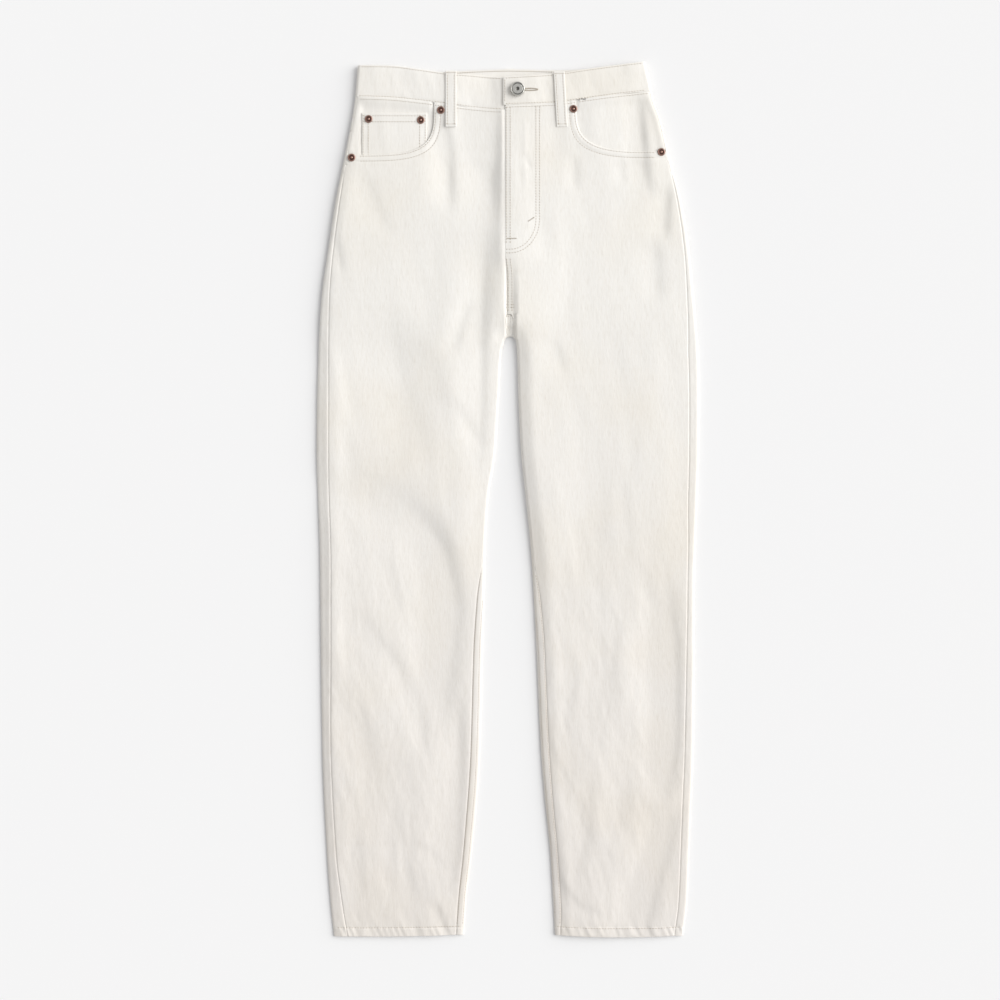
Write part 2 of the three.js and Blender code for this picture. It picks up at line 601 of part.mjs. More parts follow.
function beltLoop(loop) {
  const lies = BAND_TOP + LAYER_GAP + LOOP_WALL;
  const rows = [];
  for (let i = 0; i <= LOOP_ROWS; i += 1) {
    const t = i / LOOP_ROWS;
    const x = mix(loop.endX, loop.topX, t);
    const y = mix(loop.endY, loop.topY, t);
    const z = loop.under ? 0 : lies + LOOP_ARCH * Math.sin(Math.PI * t);
    rows.push([-1, 0, 1].map((k) => new THREE.Vector3(x + (k * LOOP_WIDTH) / 2, y, z)));
  }
  return clothLayer(rows, loop.under ? -1 : 1, LOOP_WALL);
}

// Turned hardware: a profile of radius and height, spun round the vertical
function turned(profile, segments) {
  const points = profile.map(([radius, height]) => new THREE.Vector2(radius, height));
  return new THREE.LatheGeometry(points, segments).rotateX(Math.PI / 2);
}

function buttonGeometry() {
  const { radius, height, shank } = BUTTON;
  const rim = 0.8;
  return turned(
    [
      [0, 0],
      [shank, 0],
      [shank, rim],
      [radius - rim, rim],
      [radius, 2 * rim],
      [radius, height - rim],
      [radius - rim, height],
      [radius - 2.5 * rim, height - 0.5 * rim],
      [radius / 2, height - 0.6 * rim],
      [radius / 4, height - rim],
      [0, height - rim],
    ],
    BUTTON.segments,
  );
}

function rivetGeometry() {
  const nipple = 1.4;
  return turned(
    [
      [0, 0],
      [RIVET_RADIUS, 0],
      [RIVET_RADIUS, 0.35 * RIVET_HEIGHT],
      [0.75 * RIVET_RADIUS, 0.6 * RIVET_HEIGHT],
      [nipple, 0.55 * RIVET_HEIGHT],
      [0.6 * nipple, RIVET_HEIGHT],
      [0, RIVET_HEIGHT],
    ],
    RIVET_SEGMENTS,
  );
}

// Highest point of a surface under a disc, so that what lies on it clears it
function highestUnder(x, y, radius, height) {
  const around = [0, 45, 90, 135, 180, 225, 270, 315].map(radians);
  return Math.max(height(x, y), ...around.map((a) => height(x + radius * Math.cos(a), y + radius * Math.sin(a))));
}

const garment = new THREE.Group();

function add(name, geometry, material) {
  const mesh = new THREE.Mesh(geometry, material);
  mesh.name = name;
  garment.add(mesh);
  return mesh;
}

[
  { word: "right", side: -1 },
  { word: "left", side: 1 },
].forEach(({ word, side }) => {
  add("front_" + word, frontPanel(side), denim());
  add("back_" + word, backPanel(side), denim());
  add("yoke_" + word, yoke(side), denim());
  add("pocket_facing_" + word, pocketFacing(side), denim());
  add("back_pocket_" + word, backPocket(side), denim());
});
add("coin_pocket", coinPocket(), denim());
add("waistband", waistband(), denim());
LOOPS.forEach((loop) => add(loop.name, beltLoop(loop), denim()));
add("button", buttonGeometry(), silver()).position.set(BUTTON.x, BUTTON.y, BAND_OVER_TOP + LAYER_GAP);
RIVETS.forEach(({ name, x, y, on }) => {
  const surface = (px, py) => (on === "coin" ? skin(px, py, 1) - WALL - LAYER_GAP : frontSkin(sideOf(px), px, py));
  const z = highestUnder(x, y, RIVET_RADIUS, surface) + LAYER_GAP;
  add(name, rivetGeometry(), copper()).position.set(x, y, z);
});

export default garment;
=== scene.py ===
"""Straight jeans in ecru denim, buttoned and laid flat with the front up.

Shapes are worked out in millimetres and set down in metres. X runs across with the wearer's left
at +X, Y runs from hem to waist, and Z = 0 is the surface that the garment lies on.
"""

import math

import bmesh
import bpy
import numpy as np
from mathutils import Matrix, Vector


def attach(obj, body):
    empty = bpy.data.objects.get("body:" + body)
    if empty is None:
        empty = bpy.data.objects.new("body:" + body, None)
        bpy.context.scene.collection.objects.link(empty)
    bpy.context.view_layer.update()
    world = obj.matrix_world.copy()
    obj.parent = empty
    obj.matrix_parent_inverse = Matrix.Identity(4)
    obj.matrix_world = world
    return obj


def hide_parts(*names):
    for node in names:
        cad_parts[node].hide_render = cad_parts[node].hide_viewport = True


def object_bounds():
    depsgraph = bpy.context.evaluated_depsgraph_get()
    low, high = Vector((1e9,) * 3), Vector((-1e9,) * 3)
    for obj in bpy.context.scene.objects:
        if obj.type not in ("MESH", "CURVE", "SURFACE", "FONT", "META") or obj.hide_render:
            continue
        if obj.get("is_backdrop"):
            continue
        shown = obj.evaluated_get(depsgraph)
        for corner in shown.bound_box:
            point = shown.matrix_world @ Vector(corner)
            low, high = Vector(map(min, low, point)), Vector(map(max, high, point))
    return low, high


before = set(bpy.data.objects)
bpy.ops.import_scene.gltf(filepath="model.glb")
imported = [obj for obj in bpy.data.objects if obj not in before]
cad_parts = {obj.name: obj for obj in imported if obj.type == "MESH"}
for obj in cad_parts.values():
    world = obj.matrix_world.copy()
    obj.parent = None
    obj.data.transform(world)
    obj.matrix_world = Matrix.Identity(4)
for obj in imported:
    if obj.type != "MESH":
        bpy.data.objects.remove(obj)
CAD_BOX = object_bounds()

MM = 0.001
RIGHT, LEFT = -1, 1
WORD = {RIGHT: "right", LEFT: "left"}

# Cloth
DENIM = 1.0  # thickness of one layer
BAND = 1.8  # the waistband's outer layer with its turnings
LAYER = 0.15  # clearance between pieces that lie on each other
SOLID_WALL = 1.4  # of one layer in the solids
FOLD_RUN = 3.5  # the length over which a folded edge turns
FOLD_HEIGHT = 1.0  # of a folded edge's line above the underside
SEAM_LAP = 0.4  # how far the panels run in under the waistband
CENTRE_GAP = 0.05  # between the centre seam and each half of the back

# How far in from a folded edge the cloth is filled out
SOFTENING = {RIGHT: 15, LEFT: 40}
SLOT_SOFTENING = {RIGHT: 40, LEFT: 24}
CENTRE_SOFTENING = 30

# Least air between front and back where a fold presses them together: more at the waist
LEAST_AIR = 0.15
WAIST_AIR = 2.0
WAIST_AIR_Y = 375
WAIST_AIR_RUN = 30
PRESS_SOFTNESS = 1.2  # square millimetres: rounds the cloth off where it comes down to the least air

# Centre, crotch and fly
CENTRE_X = 2.4
SLOT_TOP_Y = 192
SLOT_RADIUS = 7
SLOT_Y = SLOT_TOP_Y - SLOT_RADIUS
CROTCH_ROLL = 26
MERGE_BELOW = 12  # the two legs begin to merge into one surface this far below the slot's round end
MERGE_RUN = 20
OUTER_ROLL = {RIGHT: 0.6, LEFT: 0.3}

# The garment rises from its sides towards the slot and the centre
CENTRE_RISE = 2.6
MIDDLE_RISE = {RIGHT: 2.4, LEFT: 2.9}
RISE_REACH = 215
RISE_TOP_Y = 450
RISE_FADE = 130
CENTRE_REACH = 40
LEFT_AIR = 0.6  # the left leg holds this share of the air, from LEFT_AIR_Y down
LEFT_AIR_Y = 430
LEFT_AIR_RUN = 150

# How the rise begins at the inner fold, at the thigh and below it: its run and its share
THIGH_Y = 60
THIGH_RUN = 200
SLOT_RISE_RUN = {RIGHT: (26, 26), LEFT: (17, 20)}
SLOT_RISE = {RIGHT: (0.7, 0.1), LEFT: (1, 1)}
MERGED_RUN = 16
MERGED_RISE = 0.85

# The channel between the thighs
CHANNEL_X = 3
CHANNEL_HALF = 3.6
CHANNEL_SIDE = 3.4
CHANNEL_LOW_Y = 180
CHANNEL = ((2.9, 300, 90), (1.6, 207, 5))  # depth, Y where it begins, and the length over which it deepens

# Fly
FLY_EDGE_X = -3.5
FLY_UNDERLAP = 9.5
FLY_BOTTOM_Y = 292
FLY_SEAM_Y = 262
FLY_DIP = 30
LAP_EDGE_X = -0.8  # below the fly the left front laps over the right one in a felled seam
LAP = 3.5
LAP_LOW_Y = 219
LAP_LOW_RUN = 7
FLY_CURVE = {"x": 33, "top": 464, "turn": 330, "centre_x": 3, "across": 30, "down": 36}
FLY_TACKS = (((-1, 306.5), (10, 306.5)), ((24, 327), (31, 331.5)))
CROTCH_STITCHES_Y = (229.5, 226, 215.8)

# Waistband
BAND_LEFT_END_X = -5.5
BAND_RIGHT_END_X = 30
BAND_TOP = 7.8
BAND_UNDER_TOP = 7.2
BAND_OVER_TOP = 9.4
BAND_WIDTH = 37
BAND_Y = 490  # a level that crosses the whole band
BAND_STEP = 2.6
BUTTONHOLE = {"x": 26, "y": 482.4, "half_length": 9.5, "half_width": 1.5}

# Underside
SEAT_LIFT = 1.7
SEAT_LIFT_FROM_Y = 150
SEAT_LIFT_TO_Y = 215
UNDER_HEIGHT = 0.3  # of the outer face of what is sewn on under the garment

# Levels of the legs: folded edges from X = 0, and the insets of outseam and inseam
LEG_COLUMNS = ("y", "outer", "inner", "outseam", "inseam")
RIGHT_LEG = (
    (-516, 205, 52, 16, 9.5),
    (-473, 209.5, 49.6, 13.6, 9),
    (-414, 213.6, 42.5, 10.6, 10),
    (-296, 218.9, 33, 10, 11),
    (-178, 220.7, 30.1, 11.8, 10.5),
    (-119, 221.3, 28.3, 12.4, 8.5),
    (-60, 222, 27.1, 13, 2.2),
    (0, 224, 23.4, 13, 1.2),
    (58, 225.6, 14.6, 14, 1.2),
    (117, 225, 10.8, 13.5, 1.2),
    (176, 223.4, 7.4, 11.8, 1.2),
    (185, 223, 4.6, 11.5, 1.2),
    (235, 220, 0, 9.4, 0),
    (294, 212, 0, 6.2, 0),
    (353, 203, 0, 5, 0),
    (412, 191, 0, 2.6, 0),
    (471, 180.5, 0, 2, 0),
    (512, 177, 0, 2, 0),
)
LEFT_LEG = (
    (-516, 206, 55.7, 10, 6),
    (-473, 211.2, 53.1, 10, 9),
    (-414, 213.6, 49.6, 10, 8.5),
    (-355, 215.9, 43.7, 10, 9),
    (-296, 218.3, 38.9, 10, 9.5),
    (-178, 219.5, 33.6, 9, 9.5),
    (-119, 219.5, 30.7, 8, 7.5),
    (-60, 220.7, 27.1, 8.3, 2.2),
    (0, 223, 21.2, 10.6, 1.2),
    (58, 224.8, 15.3, 11.2, 1.2),
    (117, 225.6, 12.4, 11.8, 1.2),
    (176, 224.2, 10.6, 11.8, 1.2),
    (185, 223.6, 9.4, 11, 1.2),
    (235, 219.5, 0, 8.3, 0),
    (294, 213.6, 0, 6, 0),
    (353, 204.1, 0, 5, 0),
    (400, 191.2, 0, 3, 0),
    (448, 179.4, 0, 2, 0),
    (471, 171.1, 0, 2, 0),
    (495, 166.4, 0, 2, 0),
    (516, 161.7, 0, 2, 0),
)
LEGS = {RIGHT: RIGHT_LEG, LEFT: LEFT_LEG}
HEMS = {RIGHT: (-515, -513, 0.9), LEFT: (-514.4, -513.6, 2)}  # Y at the outer fold, inner fold, and sag
HEM_STITCHES = 10.3
HEM_STEPS = (0, 0.4, 1, 2, 3.5, 5, 6.5, 8, 9, 9.7, HEM_STITCHES, 10.9, 11.7, 12.8)

AIR_COLUMNS = ("y", "edge", "middle")
AIR = (
    (-516, 0.5, 0.8),
    (-480, 0.9, 1.8),
    (-300, 1.5, 2.8),
    (0, 1.7, 3.0),
    (200, 2.0, 2.9),
    (380, 2.6, 3.1),
)

BAND_COLUMNS = ("x", "top", "seam")
BAND_FRONT = {
    RIGHT: (
        (-180, 511.5, 474),
        (-139, 511, 472.5),
        (-104, 506.8, 469),
        (-74, 502.7, 465.4),
        (-40, 500, 461),
        (-4, 497.4, 458.5),
        (30, 497.4, 459),
    ),
    LEFT: (
        (-6, 497.4, 464),
        (55, 501.5, 466.5),
        (85, 505.8, 470.5),
        (109, 509.2, 474),
        (162, 516, 480.5),
    ),
}
BAND_BACK = (
    (-180, 511.5, 474),
    (-104, 506.5, 471.5),
    (-74, 503.9, 470.5),
    (-45, 505.6, 469.8),
    (2, 507, 469.2),
    (61, 506, 471.8),
    (85, 507, 473.5),
    (109, 509, 475),
    (162, 516, 480.5),
)

# Folds of the cloth: depth, reach on the side towards +X, how many times wider the
# other side is, and the points that the fold runs through, Y and X, from low to high
FOLD_COLUMNS = ("y", "x")
FOLDS = (
    (5.4, 18, 2.6, (
        (-298, -92), (-213, -79), (-136, -73), (-89, -79),
        (-38, -97), (-1, -130), (30, -186),
    )),
    (1.1, 8, 3, ((-310, -96), (-255, -105), (-204, -127), (-156, -163), (-119, -195))),
    (3.6, 9, 2.6, ((-482, -74), (-414, -66), (-307, -61), (-204, -60))),
    (0.7, 6, 2.5, ((-440, -72), (-404, -106))),
    (1.3, 5, 2, ((-515, -72), (-475, -87))),
    (2.5, 7, 2.5, ((335, -70), (403, -72), (460, -83))),
    (0.9, 9, 2, ((309, -142), (386, -173))),
    (3.3, 28, 1.4, ((58, -118), (141, -127), (207, -139))),
    (0.8, 12, 1.5, ((70, -71), (127, -84), (181, -92))),
    (0.9, 7, 2, ((61, -33), (120, -68))),
    (1.2, 6, 2, ((169, -67), (235, -48))),
    (3, 9, 2.6, ((11, -42), (70, -35), (141, -34), (235, -32), (330, -28))),
    (3.8, 11, 3, ((323, -22), (412, -22), (519, -22))),
    (1, 4, 2, ((266, -197), (309, -202))),
    (0.6, 9, 2, ((-137, -130), (-67, -146))),
    (0.9, 9, 2.5, ((-350, -153), (-237, -177))),
    (1.1, 9, 2.5, ((-484, -116), (-345, -137))),
    (0.8, 7, 2, ((-478, -172), (-378, -184))),
    (0.4, 3, 1.5, ((389, 26), (408, 18))),
    (0.9, 5, 2, ((363, 79), (405, 77))),
    (0.8, 5, 2, ((370, 135), (405, 131))),
    (1.9, 6, 3, ((346, 166), (401, 158), (448, 153), (497, 151))),
    (2.2, 6, 3, ((304, 183), (370, 186))),
    (1.4, 8, 2, ((233, 175), (306, 170))),
    (0.8, 7, 2, ((150, 63), (188, 52))),
    (0.8, 8, 2, ((-258, 72), (-183, 78))),
    (5.2, 11, 3, ((-369, 178), (-319, 185), (-248, 189), (-166, 188), (-93, 184))),
    (4.4, 12, 2.2, ((-517, 156), (-461, 165), (-416, 176), (-366, 192))),
    (1.2, 12, 2, ((-517, 135), (-428, 151))),
    (0.9, 6, 2, ((-496, 113), (-477, 79), (-447, 57))),
    (0.7, 14, 2, ((-78, 97), (42, 111))),
    (0.9, 12, 2, ((-244, 111), (-126, 125))),
    (0.9, 12, 2, ((-397, 125), (-255, 146))),
    (0.7, 9, 2, ((-432, 85), (-314, 99))),
)
# Raised folds, in the same way
RIDGES = (
    (1, 5, 2, ((200, -12), (271, -8), (335, -8))),
    (2.2, 55, 0.25, ((-95, 28), (23, 22), (117, 15), (200, 11), (353, 7))),
    (0.8, 14, 1, ((221, 57), (311, 57), (401, 53))),
    (0.9, 9, 1, ((-489, 76), (-402, 61), (-317, 51))),
    (0.7, 9, 1, ((-343, -201), (-1, -204), (247, -201))),
    (0.3, 2.6, 1, ((353, 20), (455, 20))),
    (1.1, 20, 0.3, ((385, 168), (418, 166), (446, 163))),
)
BAND_FOLDS = ((1.6, 9, 3, ((440, -22), (520, -22))),)
FACING_FOLDS = (
    (0.9, 5, 3, ((408, 159), (440, 156), (480, 151))),
    (0.5, 6, 2, ((418, 128), (478, 124))),
)

# Pocket mouths: width, depth, squareness, X of the corner at the side and Y at the waist
MOUTHS = {RIGHT: (97, 61, 3.9, -184, 466.6), LEFT: (101, 60, 3.7, 181, 469.8)}
MOUTH_SPREAD = 70  # the rows that leave the lower edge of a mouth fan out over this length at the centre
FACING_UNDERLAP = 1.13
MOUTH_STITCHES = (1.7, 7.4)
COIN = {"outer": -172, "inner": -95.5, "top": 455, "bottom": 398}

YOKE_CENTRE_Y = 407
YOKE_SIDE_Y = 434
YOKE_GAP = 0.1
BACK_POCKET = {"inner": 32, "outer": 166, "top": 396, "side": 268, "tip": 246, "lean": 6}

LOOP_WIDTH = 12.8
LOOP_WALL = 1.0
LOOP_ARCH = 0.55
LOOP_LENGTH = 66
LOOP_GAP = 0.2  # between a loop and the band under it
LOOPS = (  # name, X and Y of the top, X and Y of the lower end, whether it is under the garment
    ("belt_loop_front_right", -67.2, 504.5, -67.2, 438.4, False),
    ("belt_loop_front_left", 60, 503.5, 63.6, 438.4, False),
    ("belt_loop_back_right", -98, 505.4, -98, 441, True),
    ("belt_loop_back_left", 98, 506.8, 98, 443, True),
    ("belt_loop_centre_back", CENTRE_X, 508, CENTRE_X, 438, True),
)

BUTTON = {"x": 11.2, "y": 482.6, "radius": 8.5, "height": 4.6, "gap": 0.3}
RIVET_RADIUS = 4.6
RIVETS = (
    ("rivet_coin_outer", -164, 447.8, "coin"),
    ("rivet_coin_inner", -102.7, 446.6, "coin"),
    ("rivet_mouth_right", -79.1, 458.2, "front"),
    ("rivet_side_right", -184.1, 402.4, "front"),
    ("rivet_mouth_left", 77, 459.6, "front"),
    ("rivet_side_left", 180.5, 408.9, "front"),
)

# Sewing
STITCH_PITCH = 3.3
STITCH = (2.3, 0.8, 0.46)  # length, width and height of one stitch
STITCH_GAP = 0.12  # from the cloth to the middle of a stitch
TWIN = 6.2  # between the two rows of a double seam


def mix(a, b, t):
    return a + (b - a) * t


def smooth(t):
    s = np.clip(t, 0, 1)
    return s * s * (3 - 2 * s)


def bell(offset, reach, power=2):
    """1 in the middle and fading to 0: a rounded ridge, or a flat-topped one with a higher power."""
    return np.exp(-((offset / reach) ** power))


def lengths_along(points):
    steps = np.linalg.norm(np.diff(points, axis=0), axis=1)
    return np.concatenate([[0], np.cumsum(steps)])


def read_table(table, columns, column, at):
    """A column of a table between its rows, on a smooth curve that never overshoots."""
    keys = np.array([row[0] for row in table], float)
    values = np.array([row[columns.index(column)] for row in table], float)
    steps = np.diff(keys)
    slopes = np.diff(values) / steps
    before, after = slopes[:-1], slopes[1:]
    same = before * after > 0
    middle = np.where(same, 2 * before * after / np.where(same, before + after, 1), 0)
    tangents = np.concatenate([slopes[:1], middle, slopes[-1:]])
    at = np.clip(at, keys[0], keys[-1])
    i = np.clip(np.searchsorted(keys, at, side="right") - 1, 0, len(steps) - 1)
    t = (at - keys[i]) / steps[i]
    rise = values[i + 1] - values[i]
    first, second = tangents[i] * steps[i], tangents[i + 1] * steps[i]
    square, cube = 3 * rise - 2 * first - second, first + second - 2 * rise
    return values[i] + t * (first + t * (square + t * cube))


def leg(side, column, y):
    return read_table(LEGS[side], LEG_COLUMNS, column, y)


def band_line(table, column, x):
    return read_table(table, BAND_COLUMNS, column, x)


def noise(x, y, cell_x, cell_y, seed):
    """Smooth random heights from -1 to 1 over cells of a given size."""
    size = 128
    lattice = np.random.default_rng(seed).uniform(-1, 1, (size, size))
    u, v = x / cell_x + 1000, y / cell_y + 1000
    i, j = np.floor(u).astype(int), np.floor(v).astype(int)
    s, t = smooth(u - i), smooth(v - j)
    corner = lambda a, b: lattice[(i + a) % size, (j + b) % size]
    return mix(mix(corner(0, 0), corner(1, 0), s), mix(corner(0, 1), corner(1, 1), s), t)


def along_folds(x, y, rows):
    """Depth of a set of listed folds: steep on one side, long and flat on the other."""
    total = np.zeros(np.broadcast(x, y).shape)
    for depth, reach, spread, points in rows:
        low, high = points[0][0], points[-1][0]
        line = lambda at: read_table(points, FOLD_COLUMNS, "x", at)
        lean = (line(y + 2) - line(y - 2)) / 4
        off = (x - line(y)) / np.sqrt(1 + lean**2)
        inside = np.minimum(y - low, high - y)
        fade = smooth((inside + reach) / (0.3 * (high - low) + reach))
        total += depth * fade * bell(off, np.where(off > 0, reach, reach * spread))
    return total


def outer_inset(side, x, y):
    return leg(side, "outer", y) - side * x


def slot_inset(side, x, y):
    round_end = np.hypot(x - CENTRE_X, y - SLOT_Y) - SLOT_RADIUS
    return np.where(y <= SLOT_Y, side * x - leg(side, "inner", y), round_end)


def turn(distance, run=FOLD_RUN):
    t = np.clip(distance / run, 0, 1)
    return np.sqrt(1 - (1 - t) ** 2)


def seat_lift(y):
    return SEAT_LIFT * smooth((y - SEAT_LIFT_FROM_Y) / (SEAT_LIFT_TO_Y - SEAT_LIFT_FROM_Y))


def above_slot(y):
    """1 where both legs are one, above the slot, so that the two sides meet level there."""
    return smooth((y - SLOT_Y + MERGE_BELOW) / MERGE_RUN)


def settled(side, x, y):
    """0 beside a fold, 1 in the middle of a leg."""
    run = mix(SLOT_SOFTENING[side], CENTRE_SOFTENING, above_slot(y))
    return smooth(outer_inset(side, x, y) / SOFTENING[side]) * smooth(slot_inset(side, x, y) / run)


def crinkle(x, y):
    """Fine wrinkles of washed denim: long in the warp, stronger down the legs."""
    drift = 9 * noise(x, y, 60, 90, 3)
    low_leg = smooth((60 - y) / 260)
    fine = noise(x + drift + 0.25 * y, y, 6, 19, 5)
    fine = fine + 0.6 * noise(x - drift - 0.15 * y, y, 4.6, 12, 8)
    wide = noise(x + 0.16 * y + drift, y, 15, 55, 11)
    broad = noise(x + 0.05 * y, y, 42, 120, 14)
    return mix(0.02, 0.16, low_leg) * fine + mix(0.24, 0.34, low_leg) * wide + 0.75 * broad


def skin(side, x, y, face):
    """Height of the garment's outer face: face 1 is the front, on top, and -1 is the underside."""
    near = settled(side, x, y)
    middle = read_table(AIR, AIR_COLUMNS, "middle", y)
    away = smooth(np.abs(x - CENTRE_X) / CENTRE_REACH)
    if side == LEFT:
        middle = middle * mix(1, LEFT_AIR, away * smooth((LEFT_AIR_Y - y) / LEFT_AIR_RUN))
    air = mix(read_table(AIR, AIR_COLUMNS, "edge", y), middle, near)
    shape = along_folds(x, y, RIDGES) - along_folds(x, y, FOLDS) + crinkle(x, y) * mix(0.5, 1, near)
    low = seat_lift(y)
    rise = np.clip(1 - np.abs(x - CENTRE_X) / RISE_REACH, 0, 1) * by_slot(side, x, y)
    rise = rise * smooth((RISE_TOP_Y - y) / RISE_FADE)
    air = air + near * 2 * (SOLID_WALL - DENIM) + mix(CENTRE_RISE, MIDDLE_RISE[side], away) * rise
    least = LEAST_AIR + WAIST_AIR * smooth((y - WAIST_AIR_Y) / WAIST_AIR_RUN)
    over = air + shape - channel(x, y) - least
    high = low + 2 * DENIM + least + (over + np.sqrt(over**2 + PRESS_SOFTNESS)) / 2
    return over_edge(low, high, face, opened(side, x, y))


def opened(side, x, y):
    """0 in the line of a folded edge, 1 where both faces have parted."""
    return turn(outer_inset(side, x, y)) * turn(slot_inset(side, x, y))


def over_edge(low, high, face, parted):
    """Both faces run together in a line near the floor where the cloth is folded."""
    line = low + FOLD_HEIGHT
    return mix(line, np.where(np.asarray(face) > 0, high, low), parted)


def by_slot(side, x, y):
    """Share of the rise beside the inner fold: less on the right leg, and there over a longer run."""
    below_thigh = smooth((THIGH_Y - y) / THIGH_RUN)
    run = mix(*SLOT_RISE_RUN[side], below_thigh)
    full = mix(*SLOT_RISE[side], below_thigh)
    above = above_slot(y)
    return mix(full, MERGED_RISE, above) * smooth(slot_inset(side, x, y) / mix(run, MERGED_RUN, above))


def channel(x, y):
    """The low channel between the two thighs, from the bottom of the fly down to the slot."""
    depth = sum(deep * smooth((top_y - y) / run) for deep, top_y, run in CHANNEL)
    across = 1 - smooth((np.abs(x - CHANNEL_X) - CHANNEL_HALF) / CHANNEL_SIDE)
    return depth * across * smooth((y - CHANNEL_LOW_Y) / 10)


def inseam_at(side, x, y):
    """Inset of the inseam from the inner fold: under the crotch it runs level across the channel."""
    low = leg(side, "inseam", np.minimum(y, SLOT_Y))
    angle = np.degrees(np.arctan2(y - SLOT_Y, side * (x - CENTRE_X)))
    return np.where(y <= SLOT_Y, low, crotch_inset(low, angle))


def crotch_inset(low, angle):
    return mix(low, CROTCH_ROLL, smooth((angle - 66) / 18))


def rolled(side, x, y):
    """Edges roll down to their folds; each seam is a groove, and the felled inseam a low ridge."""
    outer, slot = outer_inset(side, x, y), slot_inset(side, x, y)
    outseam, inseam = leg(side, "outseam", y), inseam_at(side, x, y)
    below_waist = smooth((470 - y) / 60)
    roll = mix(0.6, OUTER_ROLL[side], below_waist)
    total = -roll * np.clip(1 - outer / np.maximum(outseam, 8), 0, 1) ** 1.5
    total -= 0.3 * np.clip(1 - slot / 8, 0, 1) ** 1.5
    total -= 0.5 * bell(outer - outseam, 0.8) * smooth((outseam - 2.5) / 2)
    felled = smooth((inseam - 4) / 4)
    total -= 0.5 * felled * bell(slot - inseam, 0.8)
    past = inseam - slot
    total += felled * (0.3 * bell(past - 4, 3.2, 4) - 0.25 * bell(past - 7.2, 0.7))
    return total


def mouth_distance(side, x, y):
    """How far a place is outside the pocket mouth."""
    width, depth, n, corner_x, waist_y = MOUTHS[side]
    across = np.maximum(side * (corner_x - x), 1e-3) / width
    down = np.maximum(waist_y - y, 1e-3) / depth
    r = (across**n + down**n) ** (1 / n)
    slope = np.hypot(across ** (n - 1) / width, down ** (n - 1) / depth) * r ** (1 - n)
    return (r - 1) / slope


def mouth_relief(side, x, y):
    """The turned edge of the pocket mouth: two sewn rows with a full roll between and small pulls."""
    off = mouth_distance(side, x, y)
    pull = noise(x, y, 4.5, 4.5, 61)
    rows = bell(off - MOUTH_STITCHES[0], 0.8) + bell(off - MOUTH_STITCHES[1], 0.9)
    roll = bell(off - 4.4, 2.6, 4)
    return -0.22 * rows + 0.14 * roll * (1 + 0.5 * pull) + 0.07 * pull * bell(off - 9, 4)


def hem_relief(side, x, y):
    """The turned hem: a thicker band, the pull of its stitches, and slanting ropes between them."""
    h = y - HEMS[side][0]
    rope = noise(x + 0.45 * h, h, 3.6, 60, 21) + 0.7 * noise(x + 0.3 * h, h, 8, 60, 22)
    band = smooth((h + 1) / 2) * (1 - smooth((h - 9.5) / 2))
    groove = bell(h - HEM_STITCHES, 0.9)
    return 0.5 * band + 0.42 * rope * band - 0.45 * groove + 0.16 * rope * bell(h - 12, 6)


def top_height(side, x, y):
    """The upper side of the legs, front and rolled edges alike."""
    return skin(side, x, y, 1) + opened(side, x, y) * (rolled(side, x, y) + hem_relief(side, x, y))


def lap_edge(y):
    """X of the left front's own edge at the fly, and at the felled seam below it."""
    return mix(LAP_EDGE_X, FLY_EDGE_X, smooth((y - FLY_SEAM_Y) / (FLY_BOTTOM_Y - FLY_SEAM_Y)))


def front_height(side, x, y):
    """The layers of the fly lift both fronts, and the right one runs below the left one's edge."""
    edge = lap_edge(y)
    fly = smooth((y - FLY_SEAM_Y) / FLY_DIP)
    lift = fly * mix(2.0, 0.7, smooth((y - 425) / 35))
    lapped = smooth((y - LAP_LOW_Y) / LAP_LOW_RUN)
    if side == RIGHT:
        beside = np.minimum(x - edge, 0)
        shape = lift * bell(beside, 10) + 0.8 * fly * bell(beside, 30)
        shape = shape - (DENIM + LAYER) * smooth((x - edge + 3.6) / 3.3) * lapped
    else:
        shape = lift * (1 - smooth((x - edge) / 60))
        shape = shape + (DENIM + LAYER) * (1 - smooth((x - edge - 4) / 6)) * (1 - lapped)
    return top_height(side, x, y) + shape + mouth_relief(side, x, y)


COLLAR = np.array((0, 0.4, 0.9, 1.3, 1.7, 2.1, 2.7, 3.6, 5, 6.3, 7, 7.4, 7.8, 8.6, 10.5))
FAR_EDGE = np.array((8.4, 6.4, 4.8, 3.5, 2.4, 1.5, 0.7, 0))


def bent_row(start, knee, end, sag=0.0):
    """A row that crosses the sewn edge squarely, and then runs on to the other side."""
    collar = [mix(start, knee, step / COLLAR[-1]) for step in COLLAR]
    far = 1 - FAR_EDGE / float(np.linalg.norm(end - knee))
    rest = np.concatenate([np.linspace(0, far[0], 62)[1:-1], far])
    row = np.array(collar + [mix(knee, end, t) for t in rest])
    across = (row[:, 0] - start[0]) / (end[0] - start[0])
    row[:, 1] -= 4 * sag * across * (1 - across)
    return row


def spaced(length, cells, edges=(0.5, 1.1, 1.9, 3, 4.4, 6.2, 8.4)):
    """Places from 0 to 1 along a length: close together at both ends, even between them."""
    ends = np.array((0.0,) + tuple(edges)) / length
    between = np.linspace(ends[-1], 1 - ends[-1], cells + 1)[1:-1]
    return np.concatenate([ends, between, 1 - ends[::-1]])


